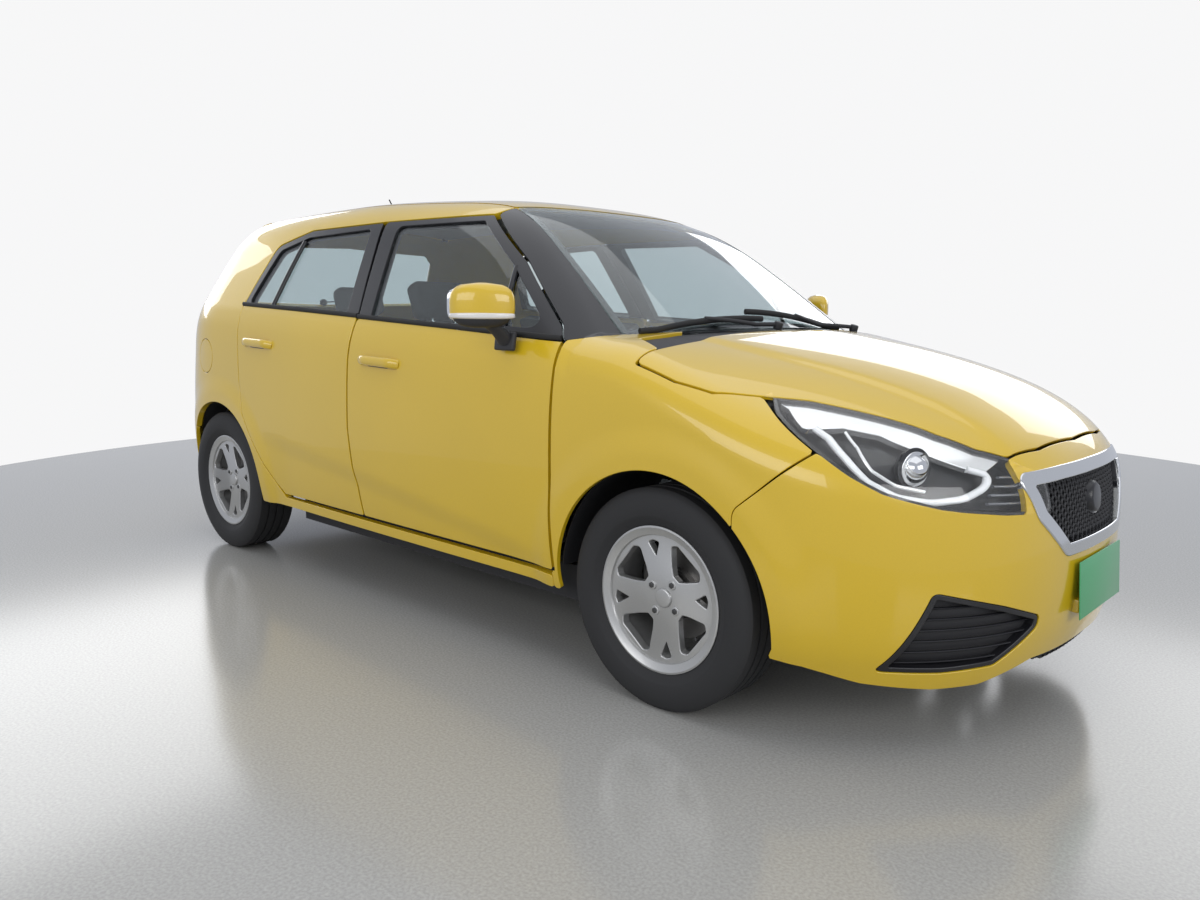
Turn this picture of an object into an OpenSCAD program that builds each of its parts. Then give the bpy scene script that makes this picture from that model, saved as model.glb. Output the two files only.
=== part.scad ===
// Five-door hatchback car. Row frame: +X forward, +Y left, +Z up, origin on the ground
// under the middle of the body. Millimetres.

/* [Body] */
// Distance between the front and rear axles
wheelbase = 2520; // [2200:5:2900]
// From the front axle to the front of the bumper
front_overhang = 860; // [760:5:980]
// From the rear axle to the back of the bumper
rear_overhang = 675; // [600:5:800]
// Width over the wheel arch flares, without the mirrors
body_width = 1729; // [1500:1:1950]
// Height of the roof panel above the ground
roof_height = 1518; // [1350:1:1700]
// Thickness of a door below its window
door_thickness = 105; // [80:1:130]
// Gap between two outer panels
shut_gap = 5; // [5:0.5:7]

/* [Wheels] */
// Distance between the tyre centrelines of one axle
track = 1480; // [1400:1:1520]
// Outer diameter of the tyre
tyre_diameter = 612; // [580:1:640]
// Section width of the tyre
tyre_width = 185; // [165:5:205]
// Nominal rim diameter
rim_diameter = 381; // [355:1:407]
// Radius of the wheel arch openings
arch_radius = 356; // [340:1:375]
// Steering lock each way in degrees
steering_lock = 34; // [20:1:38]

/* [Hidden] */

paint = [0.80, 0.66, 0.06];
black_trim = [0.06, 0.06, 0.07];
glass_tint = [0.35, 0.42, 0.45, 0.5];
steel = [0.45, 0.46, 0.48];
alloy = [0.62, 0.63, 0.65];

// ---- Stations: nominal design coordinates are warped to the sizes asked for ----
design_wheelbase = 2520;
design_front_overhang = 860;
design_rear_overhang = 675;
design_width = 1729;
design_roof = 1518;
design_half = (design_wheelbase + design_front_overhang + design_rear_overhang) / 2;
design_front_axle = design_half - design_front_overhang;
design_rear_axle = design_front_axle - design_wheelbase;
half_length = (wheelbase + front_overhang + rear_overhang) / 2;
front_axle = half_length - front_overhang;
rear_axle = front_axle - wheelbase;
axle_height = tyre_diameter / 2;
floor_z = 165;

// Real X from a design X, and back
function to_x(d) = d > design_front_axle ? front_axle + (d - design_front_axle) * front_overhang / design_front_overhang
    : d < design_rear_axle ? rear_axle + (d - design_rear_axle) * rear_overhang / design_rear_overhang
    : rear_axle + (d - design_rear_axle) * wheelbase / design_wheelbase;
function from_x(x) = x > front_axle ? design_front_axle + (x - front_axle) * design_front_overhang / front_overhang
    : x < rear_axle ? design_rear_axle + (x - rear_axle) * design_rear_overhang / rear_overhang
    : design_rear_axle + (x - rear_axle) * design_wheelbase / wheelbase;
width_scale = body_width / design_width;
height_scale = roof_height / design_roof;
function side_view(points) = [for (p = points) [to_x(p[0]), p[1] * height_scale]];
function plan_view(points) = [for (p = points) [to_x(p[0]), p[1] * width_scale]];
function front_view(points) = [for (p = points) [p[0] * width_scale, p[1] * height_scale]];

// ---- Curves ----
function clamp01(t) = max(0, min(1, t));
function ease(t) = let (c = clamp01(t)) c * c * (3 - 2 * c);
function slope(k, i) = let (a = max(0, i - 1), b = min(len(k) - 1, i + 1)) (k[b][1] - k[a][1]) / (k[b][0] - k[a][0]);
// Smooth curve through the knots k, straight beyond both ends
function curve(k, x) = let (n = len(k) - 1)
    x <= k[0][0] ? k[0][1] + (x - k[0][0]) * slope(k, 0)
    : x >= k[n][0] ? k[n][1] + (x - k[n][0]) * slope(k, n)
    : let (i = max([for (j = [0 : n - 1]) x >= k[j][0] ? j : 0]), h = k[i + 1][0] - k[i][0], t = (x - k[i][0]) / h,
           t2 = t * t, t3 = t2 * t)
      (2 * t3 - 3 * t2 + 1) * k[i][1] + (t3 - 2 * t2 + t) * h * slope(k, i)
      + (3 * t2 - 2 * t3) * k[i + 1][1] + (t3 - t2) * h * slope(k, i + 1);
// Larger and smaller of two values with a rounded corner r wide
function round_max(a, b, r) = max(a, b) + pow(max(r - abs(a - b), 0), 2) / (4 * r);

// ---- Body surface, in design coordinates ----
belt_line = [[-1500, 1106], [-1130, 1090], [-300, 1043], [570, 1001], [800, 990], [1300, 965]];
side_section = [[100, 760], [200, 800], [265, 826], [340, 842], [460, 852], [620, 857], [800, 854], [930, 843],
                [1000, 825], [1040, 806], [1200, 722], [1390, 612], [1500, 530]];
nose_line = [[100, 1950], [180, 1988], [300, 2016], [470, 2022], [620, 2008], [700, 1986], [790, 1935], [950, 1800]];
tail_line = [[150, -1930], [260, -1990], [420, -2022], [560, -2026], [700, -2008], [850, -1972], [1000, -1936],
             [1200, -1800], [1350, -1680], [1420, -1618], [1520, -1530]];
hood_line = [[600, 1035], [1000, 1020], [1250, 990], [1500, 943], [1700, 884], [1850, 812], [1950, 752], [2030, 690]];
hood_drop = [[900, 24], [1000, 34], [1250, 84], [1600, 140], [1865, 165], [2030, 175]];
roof_line = [[-1900, 1400], [-1700, 1450], [-1450, 1492], [-1250, 1506], [-900, 1516], [-550, 1518], [-100, 1496],
             [150, 1472], [330, 1432], [480, 1385], [700, 1300]];
windscreen_line = [[900, 1160], [1000, 1020], [1200, 737], [1400, 430], [1500, 262]];
nose_centre = 1335;
tail_centre = -1330;
flare_out = 9;
crease_line = [[-1000, 560], [-200, 470], [600, 365], [800, 330]];

function arch_flare(x, z) = let (f = norm([x - design_front_axle, z - 302]), r = norm([x - design_rear_axle, z - 302]))
    flare_out * (1 - ease((min(f, r) - 395) / 90));
// Below the crease the lower doors step inward
function door_scoop(x, z) = 11 * ease((curve(crease_line, x) + 35 - z) / 90) * ease((z - 240) / 80)
    * ease((x + 1050) / 300) * ease((820 - x) / 250);
function half_width(x, z) = let (lift = (curve(belt_line, x) - 1030) * ease((z - 600) / 400))
    curve(side_section, z - lift) * (1 - 0.010 * pow(x / 1300, 2)) + arch_flare(x, z) - door_scoop(x, z);
// Distance out from the plan outline: a flank between two rounded ends
function rounded_end(x, y, b, reach, n) = let (q = pow(pow(x / reach, n) + pow(abs(y) / b, n), 1 / n))
    q < 0.001 ? -b : norm([x, y]) * (1 - 1 / q);
function plan_shape(x, y, z) = let (b = half_width(x, z))
    x > nose_centre ? rounded_end(x - nose_centre, y, b, curve(nose_line, z) - nose_centre, 2.3)
    : x < tail_centre ? rounded_end(tail_centre - x, y, b, tail_centre - curve(tail_line, z), 3)
    : abs(y) - b;
function hood_top(x, y) = curve(hood_line, x) - curve(hood_drop, x) * pow(abs(y) / 750, 2.4)
    + 7 * (1 - ease((abs(y) - 330 - (1950 - x) * 0.16) / 60)) * ease((x - 900) / 200);
function roof_top(x, y) = curve(roof_line, x) - 54 * pow(abs(y) / 600, 3);
function windscreen_x(y, z) = curve(windscreen_line, z) - 0.30 / 1000 * y * y;
// Signed depth: below 0 inside the body, 0 on its skin
function depth(x, y, z) = let (cabin = round_max((x - windscreen_x(y, z)) * 0.56, z - roof_top(x, y), 50))
    round_max(plan_shape(x, y, z), x < 835 ? cabin : x > 1100 ? z - hood_top(x, y) : min(z - hood_top(x, y), cabin), 90);
function skin(p) = depth(from_x(p[0]), p[1] / width_scale, p[2] / height_scale);

// Distance along a ray at which the skin, sunk by d, is met between a and b
function hit(o, v, d, a, b, k = 15) = let (m = (a + b) / 2)
    k == 0 ? m : skin(o + v * m) + d > 0 ? hit(o, v, d, a, m, k - 1) : hit(o, v, d, m, b, k - 1);
// Height of the skin, sunk by d, above a point of the plan
function height_at(x, y, d) = 500 + hit([x, y, 500], [0, 0, 1], d, 0, 1200);
function steps(a, b, n) = [for (i = [0 : n]) a + (b - a) * i / n];

// Closed slab between two point grids of m by n points
function slab_faces(m, n) = let (k = m * n, at = function (i, j) i * n + j) concat(
    [for (i = [0 : m - 2], j = [0 : n - 2]) each [[at(i, j), at(i + 1, j), at(i + 1, j + 1)], [at(i, j), at(i + 1, j + 1), at(i, j + 1)]]],
    [for (i = [0 : m - 2], j = [0 : n - 2]) each [[k + at(i, j), k + at(i + 1, j + 1), k + at(i + 1, j)], [k + at(i, j), k + at(i, j + 1), k + at(i + 1, j + 1)]]],
    [for (i = [0 : m - 2]) each [[at(i, 0), k + at(i, 0), k + at(i + 1, 0)], [at(i, 0), k + at(i + 1, 0), at(i + 1, 0)],
        [at(i, n - 1), k + at(i + 1, n - 1), k + at(i, n - 1)], [at(i, n - 1), at(i + 1, n - 1), k + at(i + 1, n - 1)]]],
    [for (j = [0 : n - 2]) each [[at(0, j), k + at(0, j + 1), k + at(0, j)], [at(0, j), at(0, j + 1), k + at(0, j + 1)],
        [at(m - 1, j), k + at(m - 1, j), k + at(m - 1, j + 1)], [at(m - 1, j), k + at(m - 1, j + 1), at(m - 1, j + 1)]]]);
module slab(outer, inner) {
    faces = slab_faces(len(outer), len(outer[0]));
    polyhedron([for (g = [outer, inner], r = g, p = r) p], [for (t = faces) [t[2], t[1], t[0]]], convexity = 6);
}
// Slab of the right-hand side between two depths. Rows run up from z0 to where the skin
// is y_in from the middle, and each point is met along Y.
module side_slab(x0, x1, nx, z0, z1, nz, y_in, outer_depth, inner_depth) {
    grid = function (d) [for (x = steps(x0, x1, nx))
        let (top = min(z1, height_at(x, y_in, d)))
        [for (z = steps(z0, top, nz)) [x, -hit([x, 0, z], [0, 1, 0], d, 0, 1000), z]]];
    slab(grid(outer_depth), grid(inner_depth));
}
// Slab of the top: each point is met along Z
module top_slab(x0, x1, nx, y1, ny, outer_depth, inner_depth) {
    grid = function (d) [for (x = steps(x0, x1, nx)) [for (y = steps(-y1, y1, ny)) [x, y, height_at(x, y, d)]]];
    slab(grid(outer_depth), grid(inner_depth));
}
// Slab round an end: each point is met along a level ray from the upright axis at x = c
module end_slab(c, a0, a1, na, z0, z1, nz, outer_depth, inner_depth) {
    grid = function (d) [for (a = steps(a0, a1, na)) [for (z = steps(z0, z1, nz))
        let (r = hit([c, 0, z], [cos(a), sin(a), 0], d, 0, 1400)) [c + r * cos(a), r * sin(a), z]]];
    slab(grid(outer_depth), grid(inner_depth));
}
// A pressed panel is joined and cut as one mesh
module pressed() { resize([0, 0, 0]) children(); }
module both_sides() { children(); mirror([0, 1, 0]) children(); }
// Outline moved in by d, cut through the right-hand side, the plan or the front view
module side_cut(points, d = 0) {
    rotate([90, 0, 0]) translate([0, 0, 1]) linear_extrude(1099) offset(delta = -d) polygon(side_view(points));
}
module plan_cut(points, d = 0, z0 = 0, z1 = 2000) {
    translate([0, 0, z0]) linear_extrude(z1 - z0) offset(delta = -d) polygon(plan_view(points));
}
module end_cut(points, d = 0, x0 = -2500, x1 = 2500) {
    translate([x0, 0, 0]) rotate([90, 0, 90]) linear_extrude(x1 - x0) offset(delta = -d) polygon(front_view(points));
}
module block(low, high) { translate(low) cube(high - low); }
module tube_between(a, b, r, fn = 24) {
    v = b - a;
    translate(a) rotate([0, acos(v[2] / norm(v)), atan2(v[1], v[0])]) cylinder(r = r, h = norm(v), $fn = fn);
}
module wheel_arch_cut(x, inner_y) {
    for (s = [-1, 1]) translate([x, s * (inner_y + 300), axle_height])
        rotate([90, 0, 0]) cylinder(r = arch_radius, h = 600, center = true, $fn = 72);
}
function mirrored(points) = [for (i = [len(points) - 1 : -1 : 0]) [points[i][0], -points[i][1]]];
function reversed(points) = [for (i = [len(points) - 1 : -1 : 0]) points[i]];

seam = 0.3;
half_gap = shut_gap / 2;
flange = 38;

// ---- Shut lines, in design coordinates ----
// Side view: x and z
centre_line = [[-361, 1404], [-330, 1290], [-264, 1034], [-278, 900], [-280, 640], [-252, 450], [-228, 316]];
front_door_front = [[795, 316], [787, 500], [786, 760], [788, 900], [782, 985]];
front_door_top = [[752, 1033], [500, 1230], [222, 1397]];
rear_door_back = [[-1150, 980], [-1135, 760], [-1110, 640], [-1040, 540], [-945, 425], [-880, 362], [-815, 320]];
rear_door_top = [[-860, 1396], [-1078, 1338], [-1146, 1088]];
rear_door_shape = [[-856, 1395], [-1073, 1335], [-1142, 1088]];
front_door_outline = concat(front_door_front, front_door_top, centre_line);
rear_door_front = [[-376, 1402], [-340, 1290], [-267, 1034], [-281, 900], [-283, 640], [-255, 450], [-231, 316]];
rear_door_outline = concat(reversed(rear_door_front), rear_door_shape, rear_door_back);
door_aperture = concat(front_door_front, front_door_top, [[-361, 1404]], rear_door_top, rear_door_back, [[-228, 316]]);
front_window_outline = [[705, 1026], [460, 1212], [205, 1374], [-268, 1378], [-180, 1042]];
rear_window_outline = [[-345, 1052], [-436, 1378], [-850, 1364], [-1040, 1316], [-1108, 1096]];
cowl_split = [[700, 976], [960, 1016]];
fender_outline = [[786, 262], [786, 320], [700, 320], [700, 976], [960, 1016], [1290, 1060], [1620, 900],
    [1595, 745], [1425, 596], [1425, 262]];
bumper_joint = [[1425, 262], [1425, 596], [1595, 745], [1640, 800], [2200, 820], [2200, 60], [1425, 60]];
headlamp_outline = [[1400, 893], [1560, 880], [1720, 842], [1850, 784], [1905, 735], [1935, 690], [1900, 668], [1745, 672],
    [1640, 702], [1530, 762], [1455, 822]];
tail_lamp_outline = [[-1735, 1052], [-1790, 930], [-1905, 790], [-2100, 770], [-2100, 1052]];
rear_bumper_joint = [[-1640, 100], [-1640, 500], [-1640, 640], [-1760, 742], [-1930, 768], [-2200, 768], [-2200, 100]];
// Plan view: x and y of the right half, then mirrored
hood_right = [[1074, -10], [1072, -500], [1070, -800], [1200, -797], [1310, -782], [1420, -745], [1560, -698], [1720, -612],
    [1850, -482], [1900, -380], [1925, -240], [1936, -10]];
hood_outline = concat(hood_right, mirrored(hood_right));
screen_right = [[985, -10], [962, -300], [890, -655], [560, -575], [222, -490], [290, -300], [312, -10]];
screen_outline = concat(screen_right, mirrored(screen_right));
roof_right = [[312, -10], [290, -300], [222, -490], [-400, -500], [-1000, -498], [-1560, -490], [-1560, -10]];
roof_outline = concat(roof_right, mirrored(roof_right));
// End view: y and z of the left half, then mirrored
tailgate_left = [[10, 640], [470, 640], [530, 700], [560, 800], [572, 1000], [632, 1075], [618, 1200], [572, 1360], [550, 1520], [10, 1520]];
tailgate_outline = concat(tailgate_left, [for (p = reversed(tailgate_left)) [-p[0], p[1]]]);
tail_glass_left = [[10, 1100], [520, 1112], [580, 1140], [520, 1340], [470, 1384], [10, 1404]];
tail_glass_outline = concat(tail_glass_left, [for (p = reversed(tail_glass_left)) [-p[0], p[1]]]);
// Front view: y and z
grille_outline = [[-386, 688], [386, 688], [330, 590], [215, 488], [-215, 488], [-330, 590]];
intake_outline = [[-200, 255], [200, 255], [330, 240], [300, 185], [-300, 185], [-330, 240]];
side_intake_left = [[455, 395], [640, 400], [735, 345], [745, 262], [700, 235], [430, 238], [395, 262], [400, 340]];

// The tailgate's top edge leans back at 45 degrees under the roof's rear edge
roof_end_x = -1420;
roof_end_z = 1495;
module behind_roof_end(d) {
    rotate([90, 0, 0]) translate([0, 0, -900]) linear_extrude(1800) offset(delta = -d) polygon(side_view([[roof_end_x + 40, roof_end_z + 40],
        [roof_end_x - 200, roof_end_z - 200], [roof_end_x - 900, roof_end_z - 200], [roof_end_x - 900, roof_end_z + 200], [roof_end_x + 40, roof_end_z + 200]]));
}

// ---- Hinge axes ----
door_hinge_y = 842 * width_scale;
front_hinge_x = to_x(763);
rear_hinge_x = to_x(-313);
hinge_levels = [550, 780];
pin_r = 3;
lug_gap = 26;
lug_t = 8;
tailgate_hinge = [to_x(-1350), 420 * width_scale, 1437 * height_scale];
hood_hinge = [to_x(1078), 500 * width_scale, 960 * height_scale];
hood_lug = 34;
hood_gap = shut_gap + 3;

module door_hinge_pockets(x) {
    for (z = hinge_levels) translate([x, -door_hinge_y, z * height_scale]) {
        cylinder(r = pin_r + 0.4, h = 2 * (lug_gap + lug_t) + 8, center = true, $fn = 32);
        for (s = [-1, 1]) translate([0, 0, s * (lug_gap + lug_t / 2)]) intersection() {
            cylinder(r = 78, h = lug_t + 10, center = true, $fn = 40);
            translate([-9, -5.5, -20]) cube([90, 100, 40]);
        }
    }
}
// Lugs that carry the two hinge pins, let into the pillar by their clearance d
module door_hinge_lugs(x, d = 0) {
    for (z = hinge_levels, s = [-1, 1]) translate([x, -door_hinge_y, z * height_scale + s * (lug_gap + lug_t / 2)])
        translate([-5 - d, 0, -lug_t / 2 - d]) cube([10 + 2 * d, 100 + d, lug_t + 2 * d]);
}
module door_hinge_pins(x) {
    for (z = hinge_levels) translate([x, -door_hinge_y, z * height_scale]) {
        cylinder(r = pin_r, h = 2 * (lug_gap + lug_t), center = true, $fn = 32);
        for (s = [-1, 1]) translate([0, 0, s * (lug_gap + lug_t / 2) - lug_t / 2]) cylinder(r = 5, h = lug_t, $fn = 32);
    }
    door_hinge_lugs(x);
}
// Lugs of the tailgate hinge, let into the underside of the roof by their clearance d
module tailgate_lugs(d = 0) {
    translate(tailgate_hinge) for (s = [-1, 1])
        translate([-7 - d, s * 14 - 3 - d, -6]) cube([14 + 2 * d, 6 + 2 * d, 30 + d]);
}
module hinges() {
    color(steel) both_sides() {
        door_hinge_pins(front_hinge_x);
        door_hinge_pins(rear_hinge_x);
        translate(tailgate_hinge) rotate([90, 0, 0]) cylinder(r = 4, h = 34, center = true, $fn = 32);
        tailgate_lugs();
        translate(hood_hinge) rotate([90, 0, 0]) cylinder(r = 4, h = 34, center = true, $fn = 32);
        translate(hood_hinge) for (s = [-1, 1]) translate([-8, s * 14 - 3, -hood_lug]) cube([16, 6, hood_lug + 6]);
    }
    color(steel) tube_between(flap_pin(-pin_span), flap_pin(pin_span), 2);
}

// ---- Fixed body ----
side_wall = 125;
sill_y = 708 * width_scale;
module side_frame_right() {
    color(paint) pressed() difference() {
        union() {
            // Sill, rear quarter and the lower part of the C-pillar
            intersection() {
                side_slab(to_x(-1960), to_x(800), 22, 250, 1080, 7, 400, 0, side_wall + 20);
                side_cut([[786, 262], [-850, 262], [-960, 262], [-960, 700], [-1130, 1070], [-1700, 1075], [-1740, 1052],
                    [-1790, 930], [-1905, 790], [-1930, 768], [-1760, 742], [-1640, 640], [-1640, 300], [-960, 300],
                    [-815, 314], [786, 314]], seam);
            }
            // Roof rail, A-pillar and the upper part of the C-pillar
            intersection() {
                side_slab(to_x(-1800), to_x(960), 24, 960, 1600, 7, 440 * width_scale, 0, 56);
                side_cut(concat(cowl_split, [[960, 1100], [600, 1560], [-1800, 1560], [-1800, 1062], [-1120, 1062]]), seam);
            }
            // Centre pillar and hinge pillar, behind the doors
            intersection() {
                side_slab(to_x(-400), to_x(-150), 4, 262, 1600, 10, 440 * width_scale, 48, side_wall + 20);
                side_cut([[-205, 262], [-205, 900], [-290, 1500], [-440, 1500], [-335, 900], [-335, 262]]);
            }
            intersection() {
                side_slab(to_x(735), to_x(925), 4, 262, 905, 6, 620, 65, side_wall + 25);
                side_cut([[745, 262], [745, 905], [860, 905], [900, 640], [900, 262]]);
            }
            // Top of the hinge pillar, up to the A-pillar
            intersection() {
                side_slab(to_x(735), to_x(925), 4, 880, 1030, 3, 620, 48, 95);
                side_cut([[800, 880], [800, 1030], [860, 1030], [860, 880]]);
            }
        }
        door_opening();
        plan_cut(screen_outline, -seam);
        plan_cut(roof_outline, -seam, 1200);
        plan_cut([[1100, -650], [880, -650], [880, 0], [1100, 0]], 0, 300, 1100);
        side_cut(tail_lamp_outline, -seam);
        end_cut(tailgate_outline, -hood_gap, -2500, to_x(-1480));
        intersection() { end_cut(tailgate_outline, -hood_gap, -2500, to_x(-1300)); behind_roof_end(0); }
        wheel_arch_cut(rear_axle, 590);
        wheel_arch_cut(front_axle, 470);
        fuel_flap_hole(flap_r + shut_gap);
        block([to_x(-1700), -sill_y, 200], [2000, 10, 880]);
        block([-3000, -578, 0], [to_x(-1695), 10, 1000]);
        for (x = [front_hinge_x, rear_hinge_x]) door_hinge_lugs(x, seam);
    }
}
// The door opening goes right through the pillars, less what stands behind the doors
module door_opening() {
    intersection() {
        side_cut(door_aperture, -shut_gap);
        union() {
            side_cut([[740, 300], [740, 930], [600, 1300], [-270, 1500], [-270, 1420], [-190, 900], [-190, 300]], 0);
            side_cut([[-345, 300], [-345, 900], [-450, 1500], [-1300, 1500], [-1300, 300]], 0);
            skin_zone(88);
        }
    }
}
// All the space outside the skin sunk by the depth of the door's flange
module skin_zone(d) {
    side_slab(to_x(-1300), to_x(1000), 12, 240, 1600, 8, 430, -80, d);
}
module side_frame_left() { mirror([0, 1, 0]) side_frame_right(); }
module roof_panel() {
    color(paint) pressed() difference() {
        top_slab(to_x(-1550), to_x(320), 13, 540 * width_scale, 8, 0, 30);
        difference() {
            block([-3000, -1500, 0], [3000, 1500, 3000]);
            plan_cut(roof_outline, seam);
        }
        behind_roof_end(0);
        block([-3000, -900, 1300], [to_x(-1452), 900, 1600]);
        both_sides() tailgate_lugs(seam);
    }
}
rear_seat_floor = 340;
load_floor = 455;
floor_low = 190;
firewall_x = to_x(930);
tail_panel_x = to_x(-1895);
arch_wall = 372;
module floor_pan() {
    w = sill_y - seam;
    color(steel) difference() {
        union() {
            difference() {
                union() {
                    block([to_x(-425), -w, floor_low], [firewall_x, w, floor_low + 25]);
                    block([to_x(-425), -125, floor_low], [firewall_x, 125, 290]);
                    block([firewall_x, -660, floor_low], [firewall_x + 25, 660, 930]);
                    both_sides() block([to_x(-870), 672, floor_low], [firewall_x, w, 300]);
                }
                both_sides() translate([front_axle, 470, axle_height]) rotate([-90, 0, 0]) cylinder(r = arch_wall, h = 400, $fn = 72);
            }
            both_sides() translate([front_axle, 470, axle_height]) rotate([-90, 0, 0]) difference() {
                cylinder(r = arch_wall + 12, h = w - 470, $fn = 72);
                cylinder(r = arch_wall, h = 400, $fn = 72);
                translate([firewall_x - front_axle + 10, -600, -1]) cube([1200, 1200, 400]);
                translate([-600, axle_height - floor_low, -1]) cube([1200, 600, 400]);
            }
            block([to_x(-425), -w, floor_low], [to_x(-405), w, rear_seat_floor]);
            block([to_x(-870), -w, rear_seat_floor - 20], [to_x(-405), w, rear_seat_floor]);
            block([to_x(-870), -w, rear_seat_floor - 20], [to_x(-850), w, load_floor + 25]);
            block([to_x(-1885), -591, load_floor], [to_x(-850), 591, load_floor + 25]);
            block([tail_panel_x, -560, load_floor - 60], [tail_panel_x + 25, 560, 620]);
            translate([to_x(-1610), 120, 250]) cylinder(r = 270, h = load_floor - 240, $fn = 64);
            both_sides() translate([rear_axle, 590, axle_height]) rotate([-90, 0, 0]) difference() {
                cylinder(r = arch_wall, h = w - 590, $fn = 72);
                translate([-600, 0, -1]) cube([1200, 600, 300]);
            }
        }
        block([to_x(-520), -105, floor_low - 5], [firewall_x + 30, 105, 270]);
        translate([to_x(-1610), 120, 265]) cylinder(r = 258, h = load_floor, $fn = 64);
        both_sides() translate([rear_axle, 602, axle_height]) rotate([-90, 0, 0]) cylinder(r = arch_radius, h = 150, $fn = 72);
        both_sides() translate([rear_axle, 580, axle_height]) rotate([-90, 0, 0]) cylinder(r = 90, h = 150, $fn = 48);
    }
}
rail_y = 430;
fender_rail_y = 690;
tow_eye_r = 9;
// Towing eye's y and height, and the room round it where it passes the bumper
tow_eye = [-300, 340];
tow_eye_room = 5;
module engine_bay() {
    x0 = firewall_x + 25;
    front = to_x(1845);
    color(steel) {
        both_sides() {
            block([x0, rail_y - 30, 380], [front, rail_y + 30, 470]);
            block([front_axle - 110, rail_y + 28, 640], [front_axle + 110, rail_y + 34, 850]);
            block([front_axle - 110, rail_y - 30, 470], [front_axle + 110, rail_y + 30, 640]);
            block([front_axle - 110, rail_y - 30, 640], [front_axle + 110, rail_y + 28, 660]);
            difference() {
                block([front_axle - 110, rail_y + 28, 842], [front_axle + 110, rail_y + 210, 854]);
                along_kingpin(600, 720) cylinder(r = strut_rod_r + seam, h = 120, $fn = 32);
            }
        }
        difference() {
            block([front - 40, -rail_y - 60, 300], [front, rail_y + 60, 380]);
            translate([front - 50, tow_eye[0], tow_eye[1]]) rotate([0, 90, 0])
                cylinder(r = tow_eye_r, h = 60, $fn = 32);
        }
        block([front - 40, -rail_y + 30, 380], [front, rail_y - 30, 690]);
        // Upper rails that carry the fenders
        both_sides() {
            block([x0, 640, 730], [to_x(1450), fender_rail_y, 770]);
            block([front_axle - 110, 628, 770], [front_axle + 110, 645, 842]);
        }
        // Brackets of the hood hinges
        both_sides() block([x0, hood_hinge[1] - 20, hood_hinge[2] - hood_lug - 30],
            [hood_hinge[0] + 10, hood_hinge[1] + 20, hood_hinge[2] - hood_lug - seam]);
    }
}
ball_joint = [front_axle, 676 * width_scale, 190];
strut_top = [front_axle, 560 * width_scale, 870];
strut_rod_r = 10;
// Runs children along the left steering axis, from a to b above the ball joint
module along_kingpin(a, b) {
    v = strut_top - ball_joint;
    translate(ball_joint + v / norm(v) * a) rotate([atan2(-v[1], v[2]), 0, 0]) children();
}
module front_fenders() {
    color(paint) both_sides() pressed() difference() {
        union() {
            intersection() {
                side_slab(to_x(770), to_x(1640), 12, 250, 1200, 16, 560 * width_scale, 0, 20);
                side_cut(fender_outline, seam);
            }
            // Feet on the upper rail
            intersection() {
                side_slab(to_x(980), to_x(1470), 6, 700, 800, 1, 560, 6, 240);
                for (x = [1010, 1400]) block([to_x(x), -1000, 736], [to_x(x) + 40, -fender_rail_y - seam, 764]);
            }
        }
        plan_cut(hood_outline, -hood_gap, 600);
        plan_cut(screen_outline, -seam, 900);
        plan_cut([[1066, -650], [700, -650], [700, 0], [1066, 0]], 0, 600, 1200);
        plan_cut([[1080, -640], [1046, -640], [1046, -808], [1080, -808]], 0, 600, 1200);
        side_cut(door_aperture, -shut_gap);
        side_cut(headlamp_outline, -seam);
        wheel_arch_cut(front_axle, 500);
        translate([front_hinge_x, -door_hinge_y, 200]) cylinder(r = 32, h = 740, $fn = 32);
        translate([front_hinge_x, -door_hinge_y, 930]) cylinder(r = 36, h = 80, $fn = 32);
    }
}
module front_bumper() {
    color(paint) pressed() difference() {
        union() {
            intersection() {
                end_slab(to_x(1330), -96, 96, 34, 168, 830, 9, 0, 26);
                union() { side_cut(bumper_joint, seam); mirror([0, 1, 0]) side_cut(bumper_joint, seam); block([to_x(1900), -3, 0], [3000, 3, 2000]); }
            }
            both_sides() intersection() {
                end_slab(to_x(1330), 25, 60, 8, 300, 400, 1, 12, 300);
                block([to_x(1845) + seam, 455, 320], [3000, 485, 370]);
            }
        }
        plan_cut(hood_outline, -hood_gap, 600);
        end_cut(grille_outline, -seam, to_x(1700));
        end_cut(intake_outline, -seam, to_x(1700));
        both_sides() end_cut(side_intake_left, -seam, to_x(1600));
        both_sides() side_cut(headlamp_outline, -seam);
        wheel_arch_cut(front_axle, 500);
        // Way in for the towing eye
        translate([to_x(1600), tow_eye[0], tow_eye[1]]) rotate([0, 90, 0])
            cylinder(r = tow_eye_r + tow_eye_room, h = 900, $fn = 32);
    }
}
module rear_bumper() {
    color(paint) pressed() difference() {
        union() {
            intersection() {
                end_slab(to_x(-1330), 88, 272, 30, 205, 790, 7, 0, 26);
                union() { side_cut(rear_bumper_joint, seam); mirror([0, 1, 0]) side_cut(rear_bumper_joint, seam); block([-3000, -3, 0], [to_x(-1900), 3, 2000]); }
            }
            both_sides() intersection() {
                end_slab(to_x(-1330), 150, 180, 6, 520, 620, 1, 12, 400);
                block([-3000, 380, 520], [tail_panel_x - seam, 420, 570]);
            }
        }
        end_cut(tailgate_outline, -shut_gap, -2500, to_x(-1300));
        both_sides() side_cut(tail_lamp_outline, -seam);
        wheel_arch_cut(rear_axle, 500);
        tail_pipe(26);
    }
}
module grilles() {
    color(black_trim) pressed() intersection() {
        end_slab(to_x(1330), -50, 50, 20, 180, 700, 7, 14, 30);
        union() {
            end_cut(grille_outline, seam, to_x(1700));
            end_cut(intake_outline, seam, to_x(1700));
            both_sides() end_cut(side_intake_left, seam, to_x(1600));
        }
        difference() { block([0, -1000, 0], [3000, 1000, 2000]); both_sides() side_cut(headlamp_outline, -3); }
    }
}
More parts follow.
